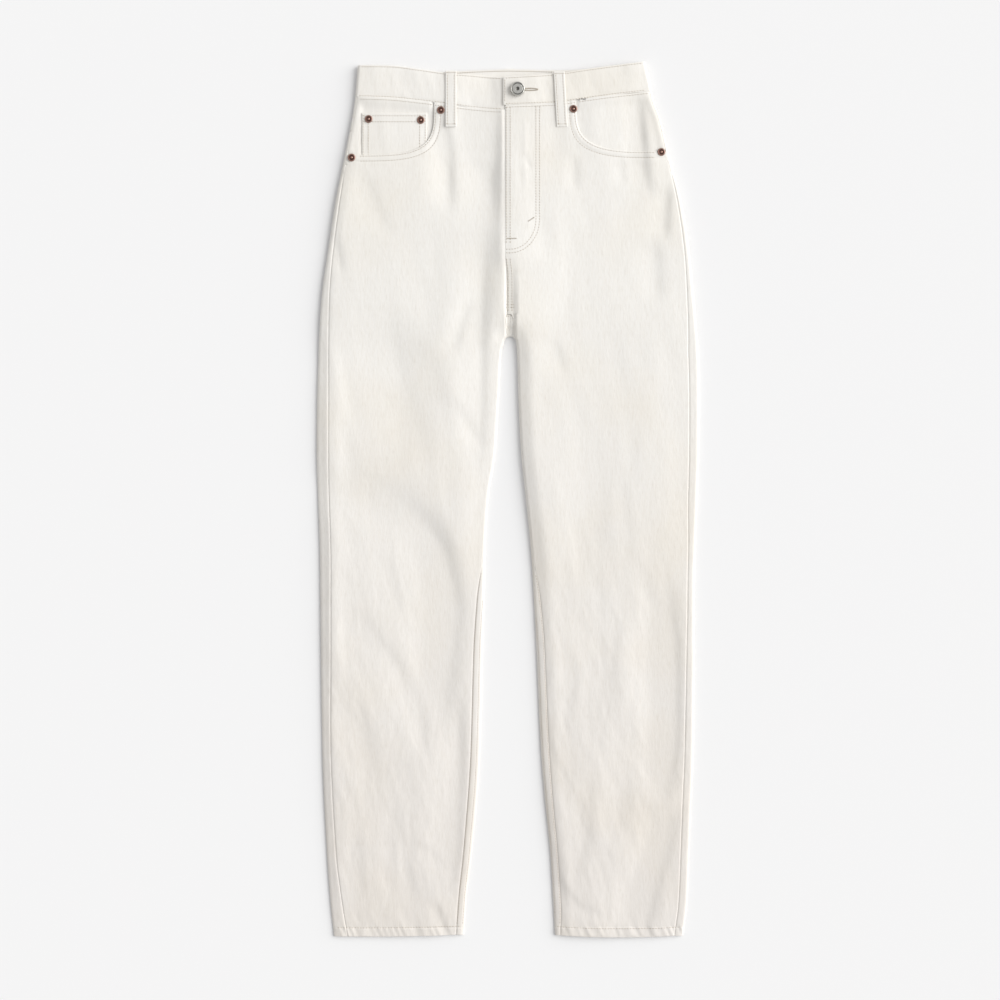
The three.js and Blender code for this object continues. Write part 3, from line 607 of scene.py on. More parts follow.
def hem_levels(side):
    """Rows from the hem up the leg and round the end of the slot: Y at each fold, sag and angle."""
    outer_y, inner_y, sag = HEMS[side]
    depth = 14
    rows = []
    for h in HEM_STEPS:
        t = h / depth
        rows.append((outer_y + h, mix(inner_y, outer_y + depth, t), sag, 0))
    for y in np.linspace(outer_y + depth, SLOT_Y, 225):
        rows.append((y, y, sag * max(0, 1 - (y - outer_y - depth) / 20), 0))
    for angle in np.concatenate([np.linspace(0, 60, 11)[1:], np.linspace(60, 90, 17)[1:]]):
        rows.append((mix(SLOT_Y, SLOT_Y + CROTCH_ROLL + 20, angle / 90), SLOT_Y, 0, angle))
    return rows


def outer_point(side, level, inset):
    return np.array([side * (leg(side, "outer", level[0]) - inset), level[0]])


def inner_point(side, level, inset):
    _, inner_y, _, angle = level
    if angle == 0:
        return np.array([side * (leg(side, "inner", inner_y) + inset), inner_y])
    reach = SLOT_RADIUS + inset
    x = CENTRE_X + side * reach * math.cos(math.radians(angle))
    return np.array([x, inner_y + reach * math.sin(math.radians(angle))])


def inseam_inset(side, level):
    low = float(leg(side, "inseam", level[1]))
    return low if level[3] == 0 else float(crotch_inset(low, level[3]))


def front_end_x(side, y):
    """X of a front's inner edge: the left one's shows, and the right one's is under it."""
    edge = float(lap_edge(y))
    if side == LEFT:
        return edge
    return edge + mix(LAP, FLY_UNDERLAP, float(smooth((y - FLY_SEAM_Y) / FLY_DIP)))


def band_seam(side, x):
    return band_line(BAND_FRONT[side], "seam", x)


def mouth_point(side, angle, scale=1.0, off=0.0):
    """A place on the pocket mouth, 90 degrees at the side seam and 0 at the waist; off moves it out."""
    width, depth, squareness, corner_x, waist_y = MOUTHS[side]
    c, s = max(math.cos(math.radians(angle)), 0), max(math.sin(math.radians(angle)), 0)
    wide, deep = width * scale + off, depth * scale + off
    power = 2 / squareness
    return np.array([corner_x - side * wide * c**power, waist_y - deep * s**power])


def mouth_angles(side, count, first=90, last=0):
    """Angles of places evenly spaced along the mouth."""
    angles = np.linspace(first, last, 400)
    along = lengths_along(np.array([mouth_point(side, angle) for angle in angles]))
    return np.interp(np.linspace(0, along[-1], count), along, angles)


def row_between(start, end, places, sag=0.0):
    x = mix(start[0], end[0], places)
    y = mix(start[1], end[1], places) - 4 * sag * places * (1 - places)
    return np.stack([x, y], axis=1)


def front_rows(side):
    """The rows of a front from the hem to the waist seam, and the last one below the pocket mouth."""
    rows = []

    def add(start, end, sag=0.0, reach=COLLAR[-1]):
        knee = start + (end - start) * reach / float(np.linalg.norm(end - start))
        rows.append(bent_row(start, knee, end, sag))

    def seam_point(y):
        return outer_point(side, (y,), leg(side, "outseam", y))

    def middle_point(y):
        return np.array([front_end_x(side, y), y])

    for level in hem_levels(side):
        end = inner_point(side, level, inseam_inset(side, level))
        if level[3] > 60:
            over = front_end_x(side, end[1]) - CENTRE_X
            end = end + np.array([over * float(smooth((level[3] - 60) / 30)), 0])
        add(seam_point(level[0]), end, level[2])
    _, depth, _, _, waist_y = MOUTHS[side]
    corner_y = waist_y - depth
    knee_y = corner_y - COLLAR[-1]
    outer_y, centre_y = hem_levels(side)[-1][0], float(rows[-1][-1, 1])
    for t in np.linspace(0, 1, 47)[1:]:
        y = mix(outer_y, knee_y - 0.8, t)
        short = mix(COLLAR[-1], 0.7, float(smooth((y - knee_y + 25) / 25)))
        add(seam_point(y), middle_point(mix(centre_y, knee_y - MOUTH_SPREAD, t)), reach=short)
    below = len(rows) - 1
    top = middle_point(waist_y)
    top[1] = float(band_seam(side, top[0]))
    steps = 56
    for k, angle in enumerate(mouth_angles(side, steps + 1)):
        t = k / steps
        low = mix(knee_y - MOUTH_SPREAD + 1.5, knee_y, min(t / 0.6, 1))
        end = middle_point(mix(low, top[1], max(t - 0.6, 0) / 0.4))
        start, knee = mouth_point(side, angle), mouth_point(side, angle, off=COLLAR[-1])
        if k == 0:
            on_seam, below_seam = seam_point(corner_y), seam_point(knee_y)
            for s in (0, 0.1, 0.25, 0.5):
                first, second = mix(on_seam, start, s), mix(below_seam, knee, s)
                rows.append(bent_row(first, second, middle_point(low + s)))
            end = middle_point(low + 1)
        rows.append(bent_row(start, knee, end))
    return rows, below


def edge_round(distance, drop, run):
    return -drop * (1 - turn(distance, run))


def set_down(rows_xy, height):
    points = np.zeros(rows_xy.shape[:2] + (3,))
    points[..., :2] = rows_xy
    points[..., 2] = height(rows_xy[..., 0], rows_xy[..., 1])
    return points


# Materials

def node_maker(material):
    tree = material.node_tree

    def make(kind, **values):
        node = tree.nodes.new(kind)
        for key, value in values.items():
            if key.startswith("in_"):
                node.inputs[key[3:].replace("_", " ")].default_value = value
            else:
                setattr(node, key, value)
        return node

    return tree, make


def start_material(name, colour, roughness, metallic=0.0):
    material = bpy.data.materials.new(name)
    material.use_nodes = True
    shader = material.node_tree.nodes["Principled BSDF"]
    shader.inputs["Base Color"].default_value = (*colour, 1)
    shader.inputs["Roughness"].default_value = roughness
    shader.inputs["Metallic"].default_value = metallic
    return material, shader


def denim_material(name, lit, shade):
    """Ecru right-hand twill with slubs along the warp, soft crinkles and a dry, slightly fuzzy face;
    painted shade darkens it towards the hems (low Y).
    """
    material, shader = start_material(name, lit, 0.92)
    tree, make = node_maker(material)
    link = tree.links.new
    uv = make("ShaderNodeUVMap", uv_map="cloth")
    twill_turn = make("ShaderNodeMapping", in_Rotation=(0, 0, math.radians(27)))
    twill = make("ShaderNodeTexWave", in_Scale=420.0, in_Distortion=1.2, in_Detail=1.0)
    slub_stretch = make("ShaderNodeMapping", in_Scale=(1500, 95, 1))
    slub = make("ShaderNodeTexNoise", in_Scale=1.0, in_Detail=3.0, in_Roughness=0.6)
    streak_stretch = make("ShaderNodeMapping", in_Scale=(330, 38, 1))
    streak = make("ShaderNodeTexNoise", in_Scale=1.0, in_Detail=4.0, in_Roughness=0.55)
    crepe = make("ShaderNodeMapping", in_Scale=(260, 110, 1), in_Rotation=(0, 0, math.radians(14)))
    crepe_noise = make("ShaderNodeTexNoise", in_Scale=1.0, in_Detail=3.0, in_Roughness=0.5)
    cloud = make("ShaderNodeTexNoise", in_Scale=7.0, in_Detail=2.0)
    link(uv.outputs[0], twill_turn.inputs[0])
    link(twill_turn.outputs[0], twill.inputs[0])
    for mapping, texture in ((slub_stretch, slub), (streak_stretch, streak), (crepe, crepe_noise)):
        link(uv.outputs[0], mapping.inputs[0])
        link(mapping.outputs[0], texture.inputs[0])
    link(uv.outputs[0], cloud.inputs[0])

    def blend(first, second, factor, kind="MULTIPLY"):
        node = make("ShaderNodeMix", data_type="RGBA", blend_type=kind)
        for socket, value in ((node.inputs[0], factor), (node.inputs[6], first), (node.inputs[7], second)):
            if isinstance(value, (float, int)):
                socket.default_value = value
            elif isinstance(value, tuple):
                socket.default_value = (*value, 1)
            else:
                link(value, socket)
        return node.outputs[2]

    def ramp(source, low, high):
        node = make("ShaderNodeMapRange", in_From_Min=low, in_From_Max=high)
        link(source, node.inputs[0])
        return node.outputs[0]

    tone = blend(lit, shade, ramp(streak.outputs[0], 0.42, 0.75), "MIX")
    apart = make("ShaderNodeSeparateXYZ")
    link(uv.outputs[0], apart.inputs[0])
    tone_marks_and_painted_shade = (  # a colour laid over the tone, what places it, and the values where it starts and is full
        ((0.985, 0.97, 0.94), cloud.outputs[0], 0.45, 0.7),
        ((0.93, 0.92, 0.9), slub.outputs[0], 0.52, 0.7),
        ((0.95, 0.945, 0.935), twill.outputs[1], 0.35, 0.0),
        ((0.90, 0.878, 0.872), apart.outputs[1], 0.24, -0.44),  # painted shade: darker down the lower legs, by Y in metres
    )
    for colour, source, start, full in tone_marks_and_painted_shade:
        tone = blend(tone, colour, ramp(source, start, full))
    link(tone, shader.inputs["Base Color"])

    normal = shader.inputs["Normal"]
    raised = (  # from the finest, which is laid on last: texture, height in metres and strength
        (twill.outputs[1], 0.00012, 0.5),
        (slub.outputs[0], 0.0002, 0.35),
        (crepe_noise.outputs[0], 0.0006, 0.35),
    )
    for source, distance, strength in raised:
        node = make("ShaderNodeBump", in_Distance=distance, in_Strength=strength)
        link(source, node.inputs["Height"])
        link(node.outputs[0], normal)
        normal = node.inputs["Normal"]
    shader.inputs["Sheen Weight"].default_value = 0.12
    shader.inputs["Sheen Roughness"].default_value = 0.6
    shader.inputs["Specular IOR Level"].default_value = 0.2
    return material


def thread_material():
    material, shader = start_material("thread", (0.60, 0.545, 0.47), 0.7)
    tree, make = node_maker(material)
    coordinates = make("ShaderNodeTexCoord")
    ply = make("ShaderNodeTexNoise", in_Scale=2500.0, in_Detail=1.0)
    tint = make("ShaderNodeMix", data_type="RGBA")
    tint.inputs[6].default_value = (0.56, 0.495, 0.41, 1)
    tint.inputs[7].default_value = (0.40, 0.345, 0.275, 1)
    tree.links.new(coordinates.outputs["Object"], ply.inputs[0])
    tree.links.new(ply.outputs[0], tint.inputs[0])
    tree.links.new(tint.outputs[2], shader.inputs["Base Color"])
    shader.inputs["Sheen Weight"].default_value = 0.2
    return material


def worn_metal(name, bright, dark, roughness):
    """Antique plating: bright where it is rubbed, dark in the recesses."""
    material, shader = start_material(name, bright, roughness, 1.0)
    tree, make = node_maker(material)
    link = tree.links.new
    coordinates = make("ShaderNodeTexCoord")
    wear = make("ShaderNodeTexNoise", in_Scale=900.0, in_Detail=4.0)
    pits = make("ShaderNodeTexNoise", in_Scale=2600.0, in_Detail=2.0)
    hollow = make("ShaderNodeAttribute", attribute_name="hollow")
    amount = make("ShaderNodeMath", operation="MULTIPLY_ADD", use_clamp=True)
    amount.inputs[1].default_value = 0.5
    tint = make("ShaderNodeMix", data_type="RGBA")
    tint.inputs[6].default_value = (*bright, 1)
    tint.inputs[7].default_value = (*dark, 1)
    relief = make("ShaderNodeBump", in_Distance=0.0002, in_Strength=0.5)
    for texture in (wear, pits):
        link(coordinates.outputs["Object"], texture.inputs[0])
    link(wear.outputs[0], amount.inputs[0])
    link(hollow.outputs["Fac"], amount.inputs[2])
    link(amount.outputs[0], tint.inputs[0])
    link(tint.outputs[2], shader.inputs["Base Color"])
    link(pits.outputs[0], relief.inputs["Height"])
    link(relief.outputs[0], shader.inputs["Normal"])
    return material


CLOTH = denim_material("ecru denim", (0.888, 0.868, 0.832), (0.862, 0.838, 0.796))
BAND_CLOTH = denim_material("ecru denim of the band", (0.903, 0.882, 0.845), (0.876, 0.851, 0.808))
THREAD = thread_material()
SILVER = worn_metal("antique silver", (0.78, 0.77, 0.73), (0.13, 0.125, 0.115), 0.36)
COPPER = worn_metal("antique copper", (0.50, 0.31, 0.25), (0.095, 0.05, 0.042), 0.38)


# Panels

def cloth_piece(
    node, points, outward, wall=DENIM, material=CLOTH, cut=None, bevel=0.0, laid=False, strip=False
):
    """A shell of cloth: a grid whose points are set in place, with its thickness put on inwards.

    The weave follows the length along each row, X where the piece is laid flat, or a strip's mean length.
    """
    rows, columns = points.shape[0] - 1, points.shape[1] - 1
    steps = np.linalg.norm(np.diff(points, axis=1), axis=2)
    heading = np.sign(points[rows // 2, 1, 0] - points[rows // 2, 0, 0])
    across = np.concatenate([np.zeros((rows + 1, 1)), np.cumsum(steps, axis=1)], axis=1)
    across = points[..., 0] if laid else points[:, :1, 0] + heading * across
    if strip:
        across = np.broadcast_to(across.mean(axis=0), across.shape)
    bm = bmesh.new()
    bmesh.ops.create_grid(bm, x_segments=columns, y_segments=rows, size=1)
    cloth = bm.loops.layers.uv.new("cloth")
    place = {}
    for vert in bm.verts:
        place[vert] = (round((vert.co.y + 1) / 2 * rows), round((vert.co.x + 1) / 2 * columns))
    if cut:
        gone = [f for f in bm.faces if cut(np.mean([place[v] for v in f.verts], axis=0))]
        bmesh.ops.delete(bm, geom=gone, context="FACES")
    for face in bm.faces:
        face.smooth = True
        for loop in face.loops:
            i, j = place[loop.vert]
            loop[cloth].uv = (across[i, j] * MM, points[i, j, 1] * MM)
    for vert in bm.verts:
        vert.co = Vector(points[place[vert]]) * MM
    if outward < 0:
        bmesh.ops.reverse_faces(bm, faces=bm.faces[:])
    piece = new_piece(node, bm, material, node)
    shell = piece.modifiers.new("wall", "SOLIDIFY")
    shell.thickness = wall * MM
    shell.offset = -1
    shell.use_even_offset = False
    if bevel:
        soft = piece.modifiers.new("soft edge", "BEVEL")
        soft.width = bevel * MM
        soft.segments = 2
        soft.limit_method = "ANGLE"
        soft.angle_limit = math.radians(50)
    return piece


def mesh_object(name, bm, material):
    mesh = bpy.data.meshes.new(name)
    bm.to_mesh(mesh)
    bm.free()
    mesh.materials.append(material)
    piece = bpy.data.objects.new(name, mesh)
    bpy.context.scene.collection.objects.link(piece)
    return piece


def new_piece(name, bm, material, node=None):
    piece = mesh_object(name, bm, material)
    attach(piece, "root")
    if node:
        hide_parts(node)
    return piece


def front_panel(side):
    rows, below = front_rows(side)
    grid = np.array(rows)
    grid[-1, :, 1] = band_seam(side, grid[-1, :, 0]) + SEAM_LAP
    x, y = grid[..., 0], grid[..., 1]
    points = set_down(grid, lambda x, y: front_height(side, x, y))
    from_middle = np.linalg.norm(grid - grid[:, -1:], axis=2)
    points[..., 2] += edge_round(np.maximum(mouth_distance(side, x, y), 0), 0.4, 1.0)
    points[..., 2] += edge_round(from_middle, 0.45, 1.2) * (y > SLOT_Y + 20)
    cut = lambda place: below < place[0] < below + 1 and place[1] < len(COLLAR) - 1
    return cloth_piece("front_" + WORD[side], points, -side, cut=cut, laid=True)


FOLD_ANGLES = np.radians(np.linspace(0, -90, 8))
FOLD_INSETS = FOLD_RUN * (1 - np.cos(FOLD_ANGLES))
STRIP_STEPS = np.array((0, 0.04, 0.09, 0.16, 0.3, 0.45, 0.58, 0.68, 0.76, 0.88))
UNDER = np.linspace(0, 1, 33)[1:-1]


def over_fold(seam):
    """Insets from a seam on the top out to the fold's edge."""
    if seam < FOLD_RUN:
        return FOLD_RUN * (1 - np.cos(np.linspace(math.acos(1 - seam / FOLD_RUN), 0, 16)[:-1]))
    strip = mix(seam, FOLD_RUN, STRIP_STEPS)
    return np.concatenate([strip, FOLD_RUN * (1 - np.cos(np.radians(np.linspace(90, 0, 6)[:-1])))])


def under_row(side, level, end):
    """Across one level: from the outseam round the outer fold, then along the underside."""
    over = over_fold(float(leg(side, "outseam", level[0])))
    insets = np.concatenate([over, FOLD_INSETS])
    edge = [outer_point(side, level, inset) for inset in insets]
    across = row_between(outer_point(side, level, FOLD_RUN), end, UNDER, level[2])
    faces = [1] * len(over) + [0] + [-1] * (len(FOLD_INSETS) - 1 + len(across) + 1)
    return edge + list(across) + [end], faces


def lay_under(side, grid, faces):
    """Heights of a piece that wraps from the top round a fold to the underside."""
    below = set_down(grid, lambda x, y: skin(side, x, y, faces))
    above = set_down(grid, lambda x, y: top_height(side, x, y))
    below[..., 2] = np.where(faces > 0, above[..., 2], below[..., 2])
    return below


def back_panel(side):
    rows, faces = [], []
    levels = hem_levels(side)
    for level in levels:
        row, face = under_row(side, level, inner_point(side, level, FOLD_RUN))
        over = over_fold(inseam_inset(side, level))
        for inset in np.concatenate([FOLD_INSETS[::-1][1:], over[::-1]]):
            row.append(inner_point(side, level, inset))
        faces.append(face + [-1] * (len(FOLD_INSETS) - 2) + [0] + [1] * len(over))
        rows.append(row)
    full = len(rows[0])
    short = len(under_row(side, levels[0], rows[0][0])[0])
    last = len(levels) - 1
    for t in np.linspace(0, 1, 50)[1:]:
        level = (mix(levels[-1][0], YOKE_SIDE_Y, t), 0, 0, 0)
        end = np.array([CENTRE_X + side * CENTRE_GAP, mix(SLOT_TOP_Y + FOLD_RUN, YOKE_CENTRE_Y, t)])
        row, face = under_row(side, level, end)
        rows.append(row + [row[-1]] * (full - len(row)))
        faces.append(face + [-1] * (full - len(face)))
    grid, faces = np.array(rows), np.array(faces)
    x, y = grid[..., 0], grid[..., 1]
    x[:] = np.where(y > SLOT_Y, side * np.maximum(side * x, side * CENTRE_X + CENTRE_GAP), x)
    cut = lambda place: place[0] > last and place[1] > short - 1
    return cloth_piece("back_" + WORD[side], lay_under(side, grid, faces), side, cut=cut)


def yoke(side):
    rows, faces = [], []
    side_x = side * float(leg(side, "outer", YOKE_SIDE_Y))
    waist = lambda x: band_line(BAND_BACK, "seam", x) + SEAM_LAP
    for t in np.linspace(0, 1, 18):
        level = (mix(YOKE_SIDE_Y + YOKE_GAP, float(waist(side_x)), t), 0, 0, 0)
        end_y = mix(YOKE_CENTRE_Y + YOKE_GAP, float(waist(CENTRE_X)), t)
        row, face = under_row(side, level, np.array([CENTRE_X + side * CENTRE_GAP, end_y]))
        rows.append(row)
        faces.append(face)
    grid, faces = np.array(rows), np.array(faces)
    grid[-1, :, 1] = waist(grid[-1, :, 0])
    return cloth_piece("yoke_" + WORD[side], lay_under(side, grid, faces), side)


def even_along(points):
    """A line through points, read from 0 to 1 along its length."""
    points = np.array(points, float)
    along = lengths_along(points)
    return lambda t: np.array([np.interp(t * along[-1], along, points[:, k]) for k in (0, 1)])


def patch(low, high, first, last, cells_u, cells_v):
    """Points of a four-sided patch drawn between its four edges."""
    grid = np.zeros((cells_v + 1, cells_u + 1, 2))
    for i, v in enumerate(np.linspace(0, 1, cells_v + 1)):
        for j, u in enumerate(np.linspace(0, 1, cells_u + 1)):
            corners = mix(mix(low(0), low(1), u), mix(high(0), high(1), u), v)
            grid[i, j] = mix(low(u), high(u), v) + mix(first(v), last(v), u) - corners
    return grid


def straight(a, b):
    return lambda t: mix(np.array(a, float), np.array(b, float), t)


def facing_height(side, x, y):
    """Under the front by the mouth, and up to the band's level where both are sewn into its seam."""
    drop = DENIM + LAYER
    if side == RIGHT:
        drop = drop * (1 + smooth((x - COIN["outer"] + 2.5) / 3))
    inside = smooth((-mouth_distance(side, x, y) - 0.3) / 3)
    by_band = smooth((y - band_seam(side, x) + 15) / 13)
    drop = mix(drop, -0.1, by_band * inside)
    seam = outer_inset(side, x, y) - leg(side, "outseam", y)
    drop = mix(drop, 0.05, smooth(1 - seam / 11) * inside)
    folds = along_folds(x, y, FACING_FOLDS) * (1 - by_band)
    return skin(side, x, y, 1) + rolled(side, x, y) - drop - folds


def pocket_facing(side):
    corner = 45
    edge = lambda angle: mouth_point(side, angle, FACING_UNDERLAP)
    side_x = lambda y: side * (leg(side, "outer", y) - leg(side, "outseam", y) + 0.8)
    waist = lambda x: float(band_seam(side, x)) + SEAM_LAP
    waist_x = edge(0)[0]
    waist_y = waist(waist_x)
    low_y = edge(90)[1]
    low = even_along([(side_x(low_y), low_y)] + [edge(a) for a in mouth_angles(side, 60, 89.9, corner)])
    last = even_along([edge(a) for a in mouth_angles(side, 60, corner, 0)] + [(waist_x, waist_y)])
    first = even_along([(side_x(y), y) for y in np.linspace(low_y, waist(side_x(waist_y)), 30)])
    high = even_along([(x, waist(x)) for x in np.linspace(first(1)[0], waist_x, 30)])
    grid = patch(low, high, first, last, 44, 30)
    points = set_down(grid, lambda x, y: facing_height(side, x, y))
    return cloth_piece("pocket_facing_" + WORD[side], points, -side)


def coin_height(x, y):
    hem = 0.18 * smooth((y - COIN["top"] + 12) / 1.5)
    return facing_height(RIGHT, x, y) + DENIM + LAYER + hem + 0.25 * bell(y - 430, 14)


def coin_pocket():
    low = straight((COIN["outer"], COIN["bottom"]), (COIN["inner"], COIN["bottom"]))
    high = straight((COIN["outer"], COIN["top"]), (COIN["inner"], COIN["top"]))
    grid = patch(low, high, straight(low(0), high(0)), straight(low(1), high(1)), 44, 34)
    points = set_down(grid, coin_height)
    return cloth_piece("coin_pocket", points, 1, bevel=0.35)


def back_pocket(side):
    p = BACK_POCKET
    x = lambda inward, y: side * (inward + p["lean"] * (p["top"] - y) / (p["top"] - p["tip"]))
    middle = (p["inner"] + p["outer"]) / 2

    def low(u):
        y = p["tip"] + (p["side"] - p["tip"]) * abs(2 * u - 1)
        ends = (p["outer"], middle) if u < 0.5 else (middle, p["inner"])
        return np.array([mix(x(ends[0], y), x(ends[1], y), 2 * u if u < 0.5 else 2 * u - 1), y])

    high = straight((x(p["outer"], p["top"]), p["top"]), (x(p["inner"], p["top"]), p["top"]))
    grid = patch(low, high, straight(low(0), high(0)), straight(low(1), high(1)), 40, 40)
    points = set_down(grid, lambda px, py: UNDER_HEIGHT + 0.05 * noise(px, py, 14, 14, 31))
    return cloth_piece("back_pocket_" + WORD[side], points, side, DENIM + 0.2, bevel=0.35)


# Waistband and loops

def band_top(side, x):
    by_fold = 1.1 * smooth(1 - (leg(side, "outer", BAND_Y) - side * x) / 26)
    if side == RIGHT:
        return mix(BAND_TOP, BAND_UNDER_TOP, smooth((x + 2 * FLY_DIP) / FLY_DIP)) - by_fold
    return mix(BAND_OVER_TOP, BAND_TOP, smooth((x - FLY_DIP + 4) / (0.8 * FLY_DIP))) - by_fold


def band_face(side, x, y):
    """Upper face of the band in front: two stitched edges, small puckers between them."""
    low, high = y - band_seam(side, x), band_line(BAND_FRONT[side], "top", x) - y
    stitches = bell(low - 2, 1.3) + 0.7 * bell(high - 2.2, 1.3)
    pucker = 0.24 * noise(x + 0.3 * y, y, 7, 26, 41) + 0.42 * noise(x, y, 26, 30, 42)
    level = band_top(side, x) - along_folds(x, y, BAND_FOLDS) - 0.28 * stitches
    return level + pucker * smooth(np.minimum(low, high) / 6 + 0.25)


def waistband():
    def level_columns(side, end_x, table, face):
        count = round(abs(side * float(leg(side, "outer", BAND_Y)) - end_x) / BAND_STEP)
        place = lambda t: lambda y: mix(end_x, side * (leg(side, "outer", y) - FOLD_RUN), t)
        return [(side, place(t), table, face) for t in np.linspace(0, 1, count + 1)]

    def fold_columns(side):
        place = lambda inset: lambda y: side * (leg(side, "outer", y) - inset)
        above = [(side, place(inset), BAND_BACK, 1) for inset in FOLD_INSETS[::-1][1:-1]]
        below = [(side, place(inset), BAND_BACK, -1) for inset in FOLD_INSETS[:-1]]
        return above + below

    columns = level_columns(RIGHT, BAND_RIGHT_END_X, BAND_FRONT[RIGHT], 1)
    columns += fold_columns(RIGHT)
    columns += level_columns(RIGHT, CENTRE_X, BAND_BACK, -1)[::-1]
    columns += level_columns(LEFT, CENTRE_X, BAND_BACK, -1)[1:]
    columns += fold_columns(LEFT)[::-1]
    columns += level_columns(LEFT, BAND_LEFT_END_X, BAND_FRONT[LEFT], 1)[::-1]
    depths = spaced(BAND_WIDTH, 11, (0.4, 0.9, 1.5, 2.2, 3, 4))
    grid = np.zeros((len(depths), len(columns), 3))
    for j, (side, place, table, face) in enumerate(columns):
        level = lambda x: mix(band_line(table, "seam", x), band_line(table, "top", x), depths)
        y = level(place(level(place(np.full(len(depths), float(BAND_Y))))))
        x = place(y)
        high = band_face(side, x, y) if face > 0 else band_top(side, x)
        grid[:, j, 0], grid[:, j, 1] = x, y
        grid[:, j, 2] = over_edge(SEAT_LIFT, high, face, turn(outer_inset(side, x, y)))
        if face > 0:
            grid[:, j, 2] += edge_round(np.minimum(depths, 1 - depths) * BAND_WIDTH, 0.7, 1.4)
    return cloth_piece("waistband", grid, -1, BAND, BAND_CLOTH, bevel=0.4, strip=True)


def loop_height(t):
    return BAND_TOP + LOOP_GAP + LOOP_WALL + LOOP_ARCH * np.sin(np.pi * t) ** 0.7


def belt_loop(name, top_x, top_y, end_x, end_y, under):
    rows = spaced(LOOP_LENGTH, 30, (0.5, 1.2, 2.2, 3.4))
    across = spaced(LOOP_WIDTH, 6, (0.3, 0.8, 1.5, 2.2))
    grid = np.zeros((len(rows), len(across), 3))
    for i, t in enumerate(rows):
        x = mix(end_x, top_x, t) + (across - 0.5) * LOOP_WIDTH
        y = mix(end_y, top_y, t)
        z = UNDER_HEIGHT
        if not under:
            edge = (0.5 - np.abs(across - 0.5)) * LOOP_WIDTH
            ends = edge_round(np.array(min(t, 1 - t) * LOOP_LENGTH), 0.5, 1.5)
            z = loop_height(t) - 0.16 * bell(edge - 2.4, 0.8) + edge_round(edge, 0.35, 0.8) + ends
            z = z + 0.05 * noise(x, y, 5, 8, 51)
        grid[i, :, 0], grid[i, :, 1], grid[i, :, 2] = x, y, z
    return cloth_piece(name, grid, -1 if under else 1, LOOP_WALL, bevel=0.35)


# Sewing

def walk(path, pitch):
    """Places every pitch along a path, with the direction there."""
    path = np.asarray(path, float)
    along = lengths_along(path)
    spot = lambda at: np.stack([np.interp(at, along, path[:, k]) for k in (0, 1)], axis=1)
    at = np.arange(pitch / 2, along[-1], pitch)
    return spot(at), spot(at + 0.6) - spot(at - 0.6)


def sew(stitches, path, height, pitch=STITCH_PITCH, size=STITCH):
    """Stitches along a path in X and Y, each lying on the cloth at its own place."""
    fine, _ = walk(path, min(1.0, pitch / 4))
    if len(fine) < 2:
        return
    spots, ways = walk(fine, pitch)
    if not len(spots):
        return
    z = height(spots[:, 0], spots[:, 1])
    ahead = spots + ways * 0.5
    behind = spots - ways * 0.5
    rise = height(ahead[:, 0], ahead[:, 1]) - height(behind[:, 0], behind[:, 1])
    for (x, y), (wx, wy), level, climb in zip(spots, ways, z, rise):
        way = Vector((wx, wy, climb)).normalized()
        turn_to = way.to_track_quat("X", "Z").to_matrix().to_4x4()
        shape = Matrix.Diagonal((size[0] / 2 * MM, size[1] / 2 * MM, size[2] / 2 * MM, 1))
        clear_of_floor = size[2] / 2 + 0.02
        place = Matrix.Translation(Vector((x, y, max(level + STITCH_GAP, clear_of_floor))) * MM)
        stitches.append(place @ turn_to @ shape)


def bar_tack(stitches, start, end, height, width=1.4):
    """Close zigzag stitches across a short bar."""
    start, end = np.array(start, float), np.array(end, float)
    length = float(np.linalg.norm(end - start))
    way = (end - start) / length
    side = np.array([-way[1], way[0]]) * width / 2
    for t in np.linspace(0, 1, max(3, round(length / 0.8))):
        middle = mix(start, end, t)
        sew(stitches, [middle - side, middle + side], height, pitch=width, size=(width + 0.4, 0.5, 0.5))


def finish_sewing(name, stitches):
    """One round stitch is doubled into a long row, and each copy then goes to its place."""
    gap = 10
    bm = bmesh.new()
    bmesh.ops.create_uvsphere(bm, u_segments=6, v_segments=4, radius=1)
    made = 1
    while made < len(stitches):
        copied = bmesh.ops.duplicate(bm, geom=bm.verts[:] + bm.edges[:] + bm.faces[:])["geom"]
        verts = [part for part in copied if isinstance(part, bmesh.types.BMVert)]
        bmesh.ops.translate(bm, verts=verts, vec=(gap * made, 0, 0))
        made *= 2
    spare = [vert for vert in bm.verts if round(vert.co.x / gap) >= len(stitches)]
    bmesh.ops.delete(bm, geom=spare, context="VERTS")
    for vert in bm.verts:
        k = round(vert.co.x / gap)
        vert.co = stitches[k] @ Vector((vert.co.x - gap * k, vert.co.y, vert.co.z))
    for face in bm.faces:
        face.smooth = True
    return new_piece(name, bm, THREAD)


def mouth_path(side, off):
    return [mouth_point(side, angle, off=off) for angle in mouth_angles(side, 60, 89.5, 2)]


def hem_path(side, from_outer, from_inner):
    """The row of stitches along a hem, ending at these insets from its two folds."""
    outer_y, inner_y, sag = HEMS[side]
    first = outer_point(side, (outer_y + HEM_STITCHES,), from_outer)
    second = inner_point(side, (0, inner_y + HEM_STITCHES, 0, 0), from_inner)
    return row_between(first, second, np.linspace(0, 1, 30), sag)


